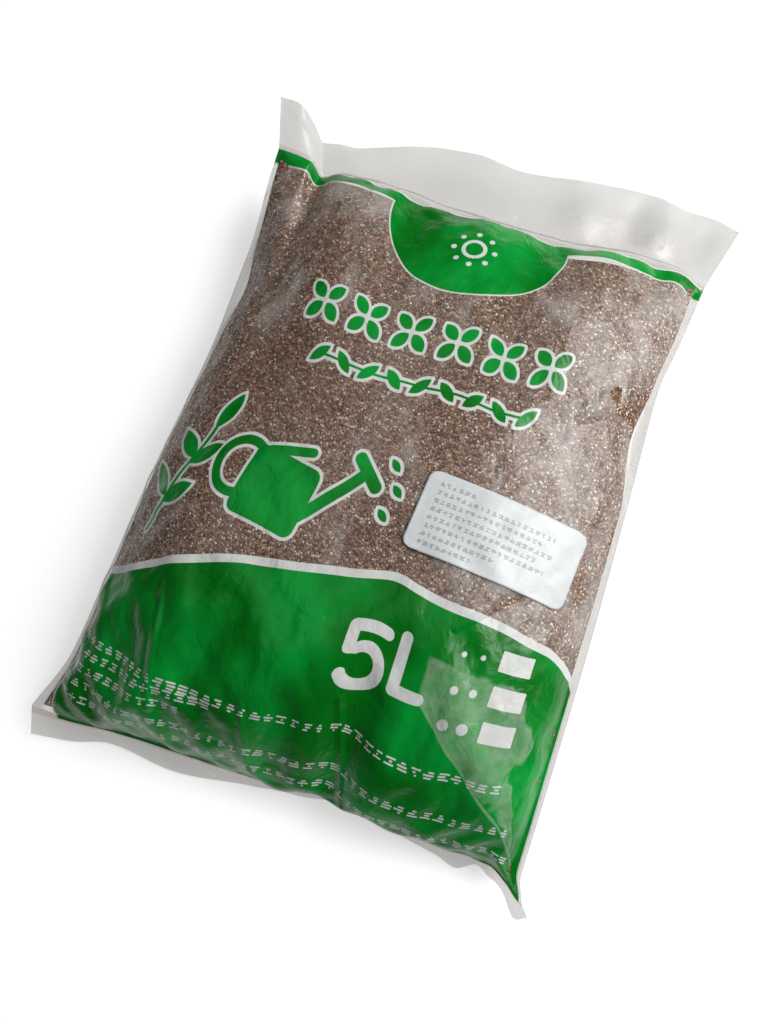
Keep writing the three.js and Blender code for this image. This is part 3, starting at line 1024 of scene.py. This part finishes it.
def crease_net(tree, place, along_bag, scale):
    """Distance to a net of creases, whose cells are longer along the bag."""
    place = stretched(tree, place, (1, along_bag, 1))
    made = add(tree, "TexVoronoi", {"Vector": place, "Scale": scale},
               feature="DISTANCE_TO_EDGE", voronoi_dimensions="2D")
    return made.outputs["Distance"]


@effect(("Height", "Float"), Place="Vector", Depth="Float")
def crinkle(tree, place, depth):
    """Creases of a thin stiff film: long ones down the bag and small ones across."""
    bent = noise(tree, place, scale=0.03, output="Color")
    place = vectors(tree, "ADD", place, stretched(tree, bent, (30, 30, 0)))
    long_creases = crease_net(tree, place, along_bag=0.35, scale=0.09)
    small_creases = crease_net(tree, place, along_bag=0.7, scale=0.22)
    soft = noise(tree, place, scale=0.12, detail=3.0)
    sharp = plus(tree, times(tree, long_creases, 0.8), times(tree, small_creases, 0.4))
    height = plus(tree, sharp, times(tree, soft, 0.8))
    yield times(tree, height, depth)


def cover(tree, distance, softness=0.12):
    return ramp(tree, distance, (softness, -softness))


def new_material(name):
    material = bpy.data.materials.new(name)
    material.use_nodes = True
    material.node_tree.nodes.clear()
    return material, material.node_tree


def surface(tree, shader):
    out = tree.nodes.new("ShaderNodeOutputMaterial")
    tree.links.new(shader, out.inputs["Surface"])


def bumped(tree, height, strength=1.0):
    return out_of(tree, "Bump", {"Height": height, "Strength": strength, "Distance": MM})


# The print, laid out on the flat film in mm
STRIPE_TOP = 372.5
STRIPE_WIDTH = 8
FINE_LINE = 1.0
DISC_CENTRE = (4, 364)
DISC_RADIUS = 56.5
BAND_LOW = 12.5
BAND_LEFT = -134
BAND_RIGHT = 147
BAND_CROWN = 153
BAND_MIDDLE = 25
BAND_FALL = 0.00158
KEYLINE = 4.3
OUTLINE = 1.7


def line_mark(tree, place, start, end, thickness):
    return use(tree, stroke, Place=place, Start=(*start, 0), End=(*end, 0), Thickness=thickness)


def ring_mark(tree, place, centre, radius, thickness):
    return use(tree, ring, Place=place, Centre=(*centre, 0), Radius=radius, Thickness=thickness)


def dot_mark(tree, place, centre, size):
    return ring_mark(tree, place, centre, 0, size)


def leaf_mark(tree, place, centre, length, width, turn):
    return use(tree, leaf, Place=place, Centre=(*centre, 0), Half_Length=length,
               Half_Width=width, Turn=turn)


def box_mark(tree, place, centre, half_size, corner, turn):
    return use(tree, rounded_box, Place=place, Centre=(*centre, 0), Half_Size=(*half_size, 0),
               Corner=corner, Turn=turn)


def stripe_and_disc(tree, place, t):
    """The green stripe under the top seal and the half disc that hangs from it."""
    under_top = minus(tree, t, STRIPE_TOP)
    stripe = most(tree, [under_top, minus(tree, STRIPE_TOP - STRIPE_WIDTH, t)])
    disc = dot_mark(tree, place, DISC_CENTRE, 2 * DISC_RADIUS)
    return least(tree, [stripe, most(tree, [disc, under_top])])


def band(tree, s, t):
    """Distances to the green band and to the white line round it."""
    off = minus(tree, s, BAND_MIDDLE)
    fall = times(tree, times(tree, off, off), BAND_FALL)
    above = minus(tree, plus(tree, t, fall), BAND_CROWN)
    below = minus(tree, BAND_LOW, t)
    left = minus(tree, BAND_LEFT, s)
    right = minus(tree, s, BAND_RIGHT)
    green = most(tree, [plus(tree, above, KEYLINE), below, left, right])
    line_left = minus(tree, left, FINE_LINE)
    line_right = minus(tree, right, FINE_LINE)
    return green, most(tree, [above, below, line_left, line_right])


def flower_row(tree, place, first, last, count, size):
    """Flowers of four petals."""
    row = use(tree, row_of_places, Place=place, First=(*first, 0), Last=(*last, 0), Count=count)
    folded = vectors(tree, "ABSOLUTE", row)
    petal = leaf_mark(tree, folded, centre=(0.52 * size, 0.52 * size), length=0.56 * size,
                      width=0.34 * size, turn=np.pi / 4)
    heart = dot_mark(tree, row, centre=(0, 0), size=0.36 * size)
    return petal, heart


def leaf_row(tree, place, first, last, count, size):
    """A straight stem with leaves that lean one way and the other."""
    row = placed(tree, row_of_places, Place=place, First=(*first, 0), Last=(*last, 0), Count=count)
    odd = maths(tree, "MODULO", row["Number"], 2)
    lean = ramp(tree, odd, (0, 1), (0.75, -0.75))
    leaves = leaf_mark(tree, row["Place"], centre=(0, 0), length=size, width=0.42 * size, turn=lean)
    stem = line_mark(tree, place, first, last, thickness=1.4)
    return least(tree, [leaves, stem])


# The watering can, in its own units: lines with their thickness, then leaves and
# drops with their place, half length, half width and turn
CAN_LINES = [
    [(14, -10), (42, 20), 6],
    [(36, 26), (48, 14), 6],
    [(-10, 17), (12, 22), 4.5],
    [(-64, -34), (-46, 22), 2],
]
CAN_LEAVES = [
    [54, 26, 4, 1.8, -0.8],
    [59, 14, 4, 1.8, -0.8],
    [56, 2, 4, 1.8, -0.8],
    [-43, 31, 10, 4.2, 1.2],
    [-58, 12, 10, 4.2, 2.4],
    [-45, 8, 10, 4.2, 0.6],
    [-66, -9, 10, 4.2, 2.4],
    [-52, -13, 10, 4.2, 0.6],
]


def watering_can(tree, place, x, y, size):
    """A watering can with drops falling from its rose, and a sprig behind it."""
    def at(right, up):
        return x + right * size, y + up * size

    def parts():
        yield box_mark(tree, place, at(0, 0), half_size=(19 * size, 17 * size), corner=5, turn=-0.12)
        yield ring_mark(tree, place, at(-22, 6), radius=13 * size, thickness=4.5 * size)
        for start, end, thickness in CAN_LINES:
            yield line_mark(tree, place, at(*start), at(*end), thickness * size)
        for right, up, length, width, turn in CAN_LEAVES:
            yield leaf_mark(tree, place, at(right, up), length * size, width * size, turn)

    return least(tree, parts())


def sun(tree, place, centre, dots_out, dots):
    """A ring with dots round it, on the half disc."""
    def parts():
        yield ring_mark(tree, place, centre, radius=6.5, thickness=2.4)
        for turn in np.linspace(0, 2 * np.pi, dots, endpoint=False):
            out = dots_out * np.cos(turn), dots_out * np.sin(turn)
            yield dot_mark(tree, place, np.add(centre, out), size=3.4)

    return least(tree, parts())


# The volume mark: its strokes, then the 5's bowl and the corner where it is open
VOLUME_THICKNESS = 6
VOLUME_LINES = [
    [(18, 126), (35, 124.5)],
    [(18, 126), (18, 114.5)],
    [(18, 114.5), (22, 114.3)],
    [(17.2, 101.5), (17.2, 101.5)],
    [(44.5, 127.5), (45, 102.5)],
    [(45, 102.5), (58.5, 103)],
]
BOWL_CENTRE = (26, 105.5)
BOWL_RADIUS = 9.7
BOWL_OPENING = (22, 101.5)


def volume_mark(tree, place, s, t):
    """The volume, 5 L, in plain round-ended strokes."""
    def parts():
        gap = least(tree, [minus(tree, BOWL_OPENING[0], s), minus(tree, t, BOWL_OPENING[1])])
        bowl = ring_mark(tree, place, BOWL_CENTRE, BOWL_RADIUS, VOLUME_THICKNESS)
        yield most(tree, [bowl, gap])
        for start, end in VOLUME_LINES:
            yield line_mark(tree, place, start, end, VOLUME_THICKNESS)

    return least(tree, parts())


# The boxes to tick: how high each lies, and the size of its dots
GRAIN_BOXES = [(129, 2.6), (112, 4.0), (95, 5.6)]
BOXES_ACROSS = 101.5
DOTS_ACROSS = (74, 83.5)


def grain_boxes(tree, place):
    """Three boxes to tick, each beside dots of one grain size."""
    def parts():
        for up, size in GRAIN_BOXES:
            yield box_mark(tree, place, (BOXES_ACROSS, up), half_size=(9, 5), corner=0.6, turn=-0.05)
            for right in DOTS_ACROSS:
                yield dot_mark(tree, place, (right, up), size)

    return least(tree, parts())


# The rows of dashes across the band, from one end to the other
SMALL_LINES = [
    [(-131, 76), (113, 69)],
    [(-131, 67.5), (-38, 70)],
    [(-131, 59), (-55, 62)],
    [(-131, 50.5), (124, 46)],
    [(-130, 42), (134, 30)],
]


def dashes(tree, place, start, end, pitch):
    return use(tree, row_of_dashes, Place=place, Start=(*start, 0), End=(*end, 0), Pitch=pitch)


def small_lines(tree, place, pitch):
    return least(tree, (dashes(tree, place, start, end, pitch) for start, end in SMALL_LINES))


def printed_ink(tree, place):
    """Where ink lies, and where that ink is white."""
    sides = split(tree, place)
    s, t = sides[0], sides[1]
    flowers, hearts = flower_row(tree, place, (-66, 278), (74, 275), count=6, size=10.5)
    icons = least(tree, [
        flowers,
        leaf_row(tree, place, (-58, 251), (68, 247), count=9, size=7),
        watering_can(tree, place, x=-50, y=178, size=1.08),
    ])
    top = stripe_and_disc(tree, place, t)
    green_band, band_line = band(tree, s, t)
    green = cover(tree, least(tree, [icons, top, green_band]))
    edged = cover(tree, least(tree, [
        minus(tree, icons, OUTLINE),
        minus(tree, top, FINE_LINE),
        band_line,
    ]))
    marks = cover(tree, least(tree, [
        volume_mark(tree, place, s, t),
        grain_boxes(tree, place),
        small_lines(tree, place, pitch=6.6),
        sun(tree, place, centre=(6, 342), dots_out=12.5, dots=8),
        hearts,
    ]))
    inked = most(tree, [edged, marks])
    white = most(tree, [minus(tree, 1, green), marks])
    return inked, white


# Colours of the film and its ink
WHITE = (1, 1, 1, 1)
GREEN_INK = (0.0, 0.14, 0.006, 1)
GREEN_LIGHT = (0.0, 0.27, 0.03, 1)
WHITE_INK = (0.6, 0.61, 0.59, 1)
# Milky haze of the film, also the colour of the painted highlights
MILKY_HAZE_AND_HIGHLIGHT = (0.66, 0.64, 0.61, 1)
CLEAR_ON_FILL = (0.97, 0.965, 0.96, 1)
CLEAR_SLACK = (0.8, 0.795, 0.785, 1)
CLEAR_SEALED = (0.74, 0.71, 0.67, 1)
CLEAR_PLAIN = (0.86, 0.86, 0.855, 1)

# Painted highlights on the flat film: facets where the film catches the lamp, painted milky: two in
# the band, one in the header
HIGHLIGHT_FACETS = [
    [(59, 102), (58, 124), (112, 116), (124, 84), (104, 62)],
    [(103, 64), (124, 80), (128, 52), (141, 27)],
    [(50, 402), (80, 413), (119, 392), (77, 387)],
]
# A painted glint along the sharp ridge at the left side of the band's facets
RIDGE_GLINT = [(59, 103), (141, 27)]
# Streaks of painted reflection on the film over the fill
REFLECTION_STREAKS = [
    [(-86, 270), (-74, 345)],
    [(62, 322), (112, 330)],
    [(112, 240), (132, 288)],
    [(92, 150), (136, 176)],
]
# Straight creases of the film, from one end to the other
SHARP_CREASES = [
    [(128, 413), (143, 384)],
    [(104, 427), (112, 393)],
    [(-146, 410), (-108, 383)],
    [(-20, 416), (18, 391)],
    [(90, 322), (141, 292)],
    [(98, 256), (143, 282)],
    [(66, 140), (143, 208)],
    [(-88, 118), (-70, 58)],
    [(-24, 76), (-8, 18)],
    [(22, 88), (42, 18)],
]


def off_lines(tree, place, lines):
    """Distance to the nearest of some straight lines."""
    return least(tree, (line_mark(tree, place, start, end, thickness=0) for start, end in lines))


def facet(tree, s, t, corners):
    """Distance to the edge of a flat facet whose corners go round clockwise."""
    def sides():
        for first, last in zip(corners, corners[1:] + corners[:1]):
            side = np.subtract(last, first)
            out = np.array([-side[1], side[0]]) / np.hypot(*side)
            off = plus(tree, times(tree, s, out[0]), times(tree, t, out[1]))
            yield minus(tree, off, float(out @ first))

    return most(tree, sides())


def painted_highlight_facets(tree, place):
    """Painted highlights, from 0 to 1: milky flat facets where the film catches the lamp, and a
    glint along their ridge.
    """
    soft = noise(tree, place, scale=0.06, output="Color")
    wander = vectors(tree, "SUBTRACT", soft, (0.5, 0.5, 0.5))
    reach = ramp(tree, split(tree, place)[0], (70, 120), (3, 20))
    moved = vectors(tree, "ADD", place, stretched(tree, wander, reach))
    sides = split(tree, moved)
    edge = least(tree, (facet(tree, sides[0], sides[1], corners) for corners in HIGHLIGHT_FACETS))
    inside = ramp(tree, edge, (0.8, -0.8))
    cloud = noise(tree, place, scale=0.09, detail=5.0, roughness=0.7)
    grain = ramp(tree, cloud, (0.3, 0.7), (0.3, 1.0))
    # A painted glint along the ridge
    ridge = ramp(tree, off_lines(tree, place, [RIDGE_GLINT]), (1, 0.2))
    return most(tree, [times(tree, inside, grain), ridge])


# Where the film starts to lie slack and where it is all slack, in mm on the flat film
SLACK_SIDES = (HALF - 8, HALF - 4)
SLACK_TOP = (BODY_TOP - 2, BODY_TOP + 1)
SLACK_TAIL = (TAIL_LENGTH + 1, TAIL_LENGTH - 3)


def slack_film(tree, s, t):
    """Where two plies lie on each other beyond the fill, from 0 to 1."""
    off_side = ramp(tree, size_of(tree, s), SLACK_SIDES)
    off_top = ramp(tree, t, SLACK_TOP)
    off_low = ramp(tree, t, SLACK_TAIL)
    return most(tree, [off_side, off_top, off_low])


# How softly a welded line ends, in mm
WELD_EDGE = 0.6


def sealed_film(tree, t):
    """The two welded lines, from 0 to 1."""
    def welds():
        for middle_of in (TAIL_LENGTH - SEAL_WIDTH / 2, BODY_TOP + SEAL_WIDTH / 2):
            off = size_of(tree, minus(tree, t, middle_of))
            yield ramp(tree, off, (SEAL_WIDTH / 2, SEAL_WIDTH / 2 - WELD_EDGE))

    return most(tree, list(welds()))


def dust_and_painted_light(tree, place, s, t):
    """Haze on the film: dust patches, more near the top, and painted light on the right and in
    streaks.
    """
    drawn = stretched(tree, place, (1, 0.5, 1))
    dust = noise(tree, drawn, scale=0.02, detail=4.0, roughness=0.65)
    veil = ramp(tree, dust, (0.35, 0.75), (0.02, 0.1))
    # Painted shade: the veil thins towards the left, away from the lamp
    thin = times(tree, veil, ramp(tree, s, (-HALF, 0), (0.2, 1)))
    # More haze near the top, and painted light on the right side, where the lamp lights the film
    top_and_lit_side = most(tree, [ramp(tree, s, (40, HALF)), ramp(tree, t, (270, BODY_TOP))])
    drawn = stretched(tree, place, (1, 0.6, 1))
    patch = noise(tree, drawn, scale=0.045, detail=5.0, roughness=0.6)
    # Streaks of painted reflection
    painted_reflection = ramp(tree, off_lines(tree, place, REFLECTION_STREAKS), (22, 4), (0, 0.16))
    biased = most(tree, [times(tree, top_and_lit_side, 0.18), painted_reflection])
    thick = ramp(tree, plus(tree, patch, biased), (0.56, 0.8), (0, 0.26))
    return plus(tree, thin, thick)


# How much haze lies in the tail, the header and the painted highlight facets, from 0 to 1, and
# the most of the light that the film mirrors
TAIL_HAZE = 0.07
HEADER_HAZE = 0.2
FACET_HIGHLIGHT = 0.35
MOST_GLOSS = 0.08


def see_through(tree, place, normal, painted_highlight):
    """Clear film: tinted where two plies lie slack, nearly clear on the fill, and glossy."""
    sides = split(tree, place)
    s, t = sides[0], sides[1]
    slack = slack_film(tree, s, t)
    sealed = sealed_film(tree, t)
    on_fill = dust_and_painted_light(tree, place, s, t)
    in_flaps = ramp(tree, t, (30, 250), (TAIL_HAZE, HEADER_HAZE))
    share = ramp(tree, slack, (0, 1), (on_fill, in_flaps))
    # The painted highlight facets add milky haze to the clear film
    share = plus(tree, share, times(tree, painted_highlight, FACET_HIGHLIGHT))
    tint = blend(tree, slack, CLEAR_ON_FILL, CLEAR_SLACK)
    tint = blend(tree, sealed, tint, CLEAR_SEALED)
    through = out_of(tree, "BsdfTransparent", {"Color": tint})
    haze = out_of(tree, "BsdfDiffuse", {"Color": MILKY_HAZE_AND_HIGHLIGHT, "Normal": normal})
    clear = mixed(tree, share, through, haze)
    mirror = out_of(tree, "BsdfPrincipled", {"Base Color": WHITE, "Metallic": 1.0,
                                             "Roughness": 0.34, "Normal": normal})
    edge_on = out_of(tree, "Fresnel", {"IOR": 1.45, "Normal": normal})
    capped = least(tree, [edge_on, MOST_GLOSS])
    glossy = times(tree, capped, ramp(tree, slack, (0, 1), (0.9, 0.6)))
    return mixed(tree, glossy, clear, mirror)


def light_through(tree, film):
    """The film, but plainly clear to rays that look for a lamp or bounce off the fill."""
    clear = out_of(tree, "BsdfTransparent", {"Color": CLEAR_PLAIN})
    path = add(tree, "LightPath", {}).outputs
    plain = most(tree, [path["Is Shadow Ray"], path["Is Diffuse Ray"]])
    return mixed(tree, plain, film, clear)


def film_normal(tree, place):
    """The film's small creases, and a few straight and sharp ones."""
    crinkled = use(tree, crinkle, Place=place, Depth=1.0)
    folded = ramp(tree, off_lines(tree, place, SHARP_CREASES), (0, 3), (2.2, 0))
    return bumped(tree, plus(tree, crinkled, folded), strength=0.45)


def printed_film():
    material, tree = new_material("printed_film")
    place = film_place(tree)
    inked, white = printed_ink(tree, place)
    normal = film_normal(tree, place)
    painted_highlight = painted_highlight_facets(tree, place)
    patches = noise(tree, place, scale=0.02, detail=3.0)
    green = blend(tree, ramp(tree, patches, (0.35, 0.65)), GREEN_INK, GREEN_LIGHT)
    colour = blend(tree, white, green, WHITE_INK)
    # Painted highlight: the ink turns partly milky on the highlight facets
    colour = blend(tree, times(tree, painted_highlight, 0.3), colour, MILKY_HAZE_AND_HIGHLIGHT)
    ink = out_of(tree, "BsdfPrincipled", {"Base Color": colour, "Roughness": 0.28,
                                          "IOR": 1.33, "Normal": normal})
    clear = see_through(tree, place, normal, painted_highlight)
    surface(tree, light_through(tree, mixed(tree, inked, clear, ink)))
    return material


def clear_film():
    material, tree = new_material("clear_film")
    place = film_place(tree)
    film = see_through(tree, place, film_normal(tree, place), 0.0)
    surface(tree, light_through(tree, film))
    return material


# Grains: how many lie along 1 mm, and their colours, from the commonest dark ones
# to the few pale flakes, the palest painted as glints, then the painted shade between grains
GRAINS_PER_MM = 0.88
GRAIN_TONES = [
    (0.0, (0.04, 0.016, 0.009)),
    (0.33, (0.15, 0.068, 0.037)),
    (0.63, (0.33, 0.172, 0.1)),
    (0.88, (0.52, 0.33, 0.215)),
    (0.95, (0.8, 0.66, 0.5)),
    # The palest tone is a painted glint
    (1.0, (1.0, 0.92, 0.8)),
]
GRAIN_GAP_SHADE = (0.03, 0.02, 0.014, 1)


def grain_tone(tree, chance):
    tone = tree.nodes.new("ShaderNodeValToRGB")
    stops = tone.color_ramp.elements
    while len(stops) < len(GRAIN_TONES):
        stops.new(0.5)
    for stop, (position, colour) in zip(stops, GRAIN_TONES):
        stop.position = position
        stop.color = (*colour, 1)
    feed(tree, tone.inputs[0], chance)
    return tone.outputs[0]


def vermiculite():
    """Flaky grains, each of its own brown and tilted its own way, with painted shade between them.
    """
    material, tree = new_material("vermiculite")
    place = stretched(tree, add(tree, "TexCoord", {}).outputs["Object"], [1 / MM] * 3)
    grains = add(tree, "TexVoronoi", {"Vector": place, "Scale": GRAINS_PER_MM}).outputs
    chance = add(tree, "SeparateColor", {"Color": grains["Color"]}).outputs
    tone = grain_tone(tree, chance[0])
    # Painted shade in the gaps between grains
    gap = ramp(tree, grains["Distance"], (0.55, 0.95))
    colour = blend(tree, gap, tone, GRAIN_GAP_SHADE)
    scaled = stretched(tree, place, [GRAINS_PER_MM] * 3)
    offset = vectors(tree, "SUBTRACT", scaled, grains["Position"])
    slope = vectors(tree, "SUBTRACT", grains["Color"], (0.5, 0.5, 0.5))
    tilt = vectors(tree, "DOT_PRODUCT", offset, slope)
    dome = times(tree, grains["Distance"], -0.7)
    height = plus(tree, times(tree, tilt, 0.8), dome)
    surface(tree, out_of(tree, "BsdfPrincipled", {"Base Color": colour, "Roughness": 0.55,
                                                  "Normal": bumped(tree, height)}))
    return material


# The label's paper and marks, and its rows of dashes from its middle, in mm
PAPER = (0.6, 0.62, 0.625, 1)
GREY_MARKS = (0.2, 0.21, 0.21, 1)
ROWS_LEFT = -36
ROWS_TOP = 15.5
ROW_PITCH = 4.6
ROW_LENGTHS = (20, 64, 60, 66, 58, 64, 40, 30)


def white_paper():
    """Glossy paper with rows of grey dashes."""
    material, tree = new_material("white_paper")
    place = film_place(tree)
    rows = []
    for number, length in enumerate(ROW_LENGTHS):
        up = ROWS_TOP - number * ROW_PITCH
        rows.append(dashes(tree, place, (ROWS_LEFT, up), (ROWS_LEFT + length, up), pitch=3.3))
    marks = cover(tree, least(tree, rows))
    colour = blend(tree, marks, PAPER, GREY_MARKS)
    fibre = noise(tree, place, scale=0.6, detail=3.0)
    surface(tree, out_of(tree, "BsdfPrincipled", {"Base Color": colour, "Roughness": 0.4,
                                                  "Normal": bumped(tree, fibre, strength=0.1)}))
    return material


def floor_white():
    """Near white, brought to white for the camera, with the bag's shadow kept."""
    material, tree = new_material("floor_white")
    paint = out_of(tree, "BsdfPrincipled", {"Base Color": (0.75, 0.75, 0.75, 1), "Roughness": 0.9})
    glow = out_of(tree, "Emission", {"Color": WHITE, "Strength": 0.55})
    both = out_of(tree, "AddShader", {0: paint, 1: glow})
    path = add(tree, "LightPath", {}).outputs
    seen_by = most(tree, [path["Is Camera Ray"], path["Is Glossy Ray"], path["Is Transmission Ray"]])
    surface(tree, mixed(tree, seen_by, paint, both))
    return material


def floor(reach):
    corners = [(-reach, -reach, 0), (reach, -reach, 0), (reach, reach, 0), (-reach, reach, 0)]
    mesh = bpy.data.meshes.new("floor")
    mesh.from_pydata(corners, [], [(0, 1, 2, 3)])
    mesh.materials.append(floor_white())
    piece = bpy.data.objects.new("floor", mesh)
    piece.location.z = -MM
    bpy.context.scene.collection.objects.link(piece)
    piece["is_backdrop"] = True


# The light from all sides, and how much of it gloss mirrors
SOFT_LIGHT = (0.13, 0.13, 0.13, 1)
SOFT_LIGHT_IN_GLOSS = (0.05, 0.05, 0.05, 1)


def world():
    """Soft light from all sides, less of it in gloss, and white to the camera."""
    sky = bpy.data.worlds.new("studio")
    sky.use_nodes = True
    tree = sky.node_tree
    tree.nodes.clear()
    path = add(tree, "LightPath", {}).outputs
    level = blend(tree, path["Is Glossy Ray"], SOFT_LIGHT, SOFT_LIGHT_IN_GLOSS)
    soft = out_of(tree, "Background", {"Color": level, "Strength": 1.0})
    white = out_of(tree, "Background", {"Color": WHITE, "Strength": 1.0})
    out = tree.nodes.new("ShaderNodeOutputWorld")
    feed(tree, out.inputs["Surface"], mixed(tree, path["Is Camera Ray"], soft, white))
    bpy.context.scene.world = sky


# The pieces
FILL_ROWS = 200
FILL_CELLS = 180
LABEL_ROWS = 44
LABEL_COLUMNS = 86
# Where the bag is thinner than this, in mm, the fill's inset shrinks with it
THIN_BAG = 20


def fill_piece():
    """The loose mass inside the film."""
    w = stations_along(FILL_ROWS)
    u, q = stations_across(w, inner_cells=FILL_CELLS, fin_cells=1)
    short = FILL_SHORT + along(TOP_SLIP, u[:, 1:-1] * HALF)[..., 0]
    low = FILL_SHORT / BODY_LENGTH
    w = low + w[:, None] * (1 - short / BODY_LENGTH - low)
    front, back = body(w, u[:, 1:-1], q[:, 1:-1])
    front = front + shift
    back = back + shift
    depth = front[..., 2] - back[..., 2]
    inset = np.minimum(1, depth / THIN_BAG)[..., None] * FILL_INSET
    points, faces = closed_grid(front - outward(front) * inset, back + outward(back) * inset)
    piece = mesh_piece("loose_vermiculite", points, faces)
    seen(piece, "vermiculite_fill", "fill", vermiculite())


def label_piece(skin):
    """A rounded sheet laid on the film."""
    half_length, half_width = LABEL_LENGTH / 2, LABEL_WIDTH / 2
    b = np.linspace(-half_width, half_width, LABEL_ROWS)
    into = np.maximum(np.abs(b) - (half_width - LABEL_CORNER), 0)
    reach = half_length - LABEL_CORNER + np.sqrt(LABEL_CORNER**2 - into**2)
    a = np.linspace(-1, 1, LABEL_COLUMNS)[None, :] * reach[:, None]
    b = np.broadcast_to(b[:, None], a.shape)
    turn = np.radians(LABEL_TURN)
    x = LABEL_ACROSS * HALF + shift[0] + a * np.cos(turn) - b * np.sin(turn)
    y = LABEL_ALONG * FLAT_LENGTH + shift[1] + a * np.sin(turn) + b * np.cos(turn)
    down = Vector((0, 0, -1))
    high = FILLED_HEIGHT * 2
    z = np.array([
        skin.ray_cast(Vector((px, py, high)), down)[0].z for px, py in zip(x.ravel(), y.ravel())
    ]).reshape(x.shape)
    base = np.stack([x, y, z], -1)
    lift = outward(base)
    top = base + lift * (LABEL_GAP + LABEL_THICKNESS)
    points, faces = closed_grid(top, base + lift * LABEL_GAP)
    flat = np.tile(np.stack([a, b], -1).reshape(-1, 2), (2, 1))
    piece = mesh_piece("label_sheet", points, faces, flat)
    seen(piece, "label", "label", white_paper())


flat_film = flat_places(film_front)
film_front = creased(film_front, flat_film, seed=11)
film_piece(film_front, film_back, printed_places(flat_film), printed_film(), clear_film())
fill_piece()
film_cells = cells(*film_front.shape[:2])
label_piece(BVHTree.FromPolygons(film_front.reshape(-1, 3).tolist(), film_cells.tolist()))
floor(reach=3.0)
world()
lamp("window", place=(0.95, 0.5, 0.98), size=0.9, power=25)
lamp("sky", place=(-0.3, 0.3, 1.5), size=1.2, power=2)

sides = {"cad": cad_box, "visual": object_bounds()}
{name: [list(corner) for corner in box] for name, box in sides.items()}
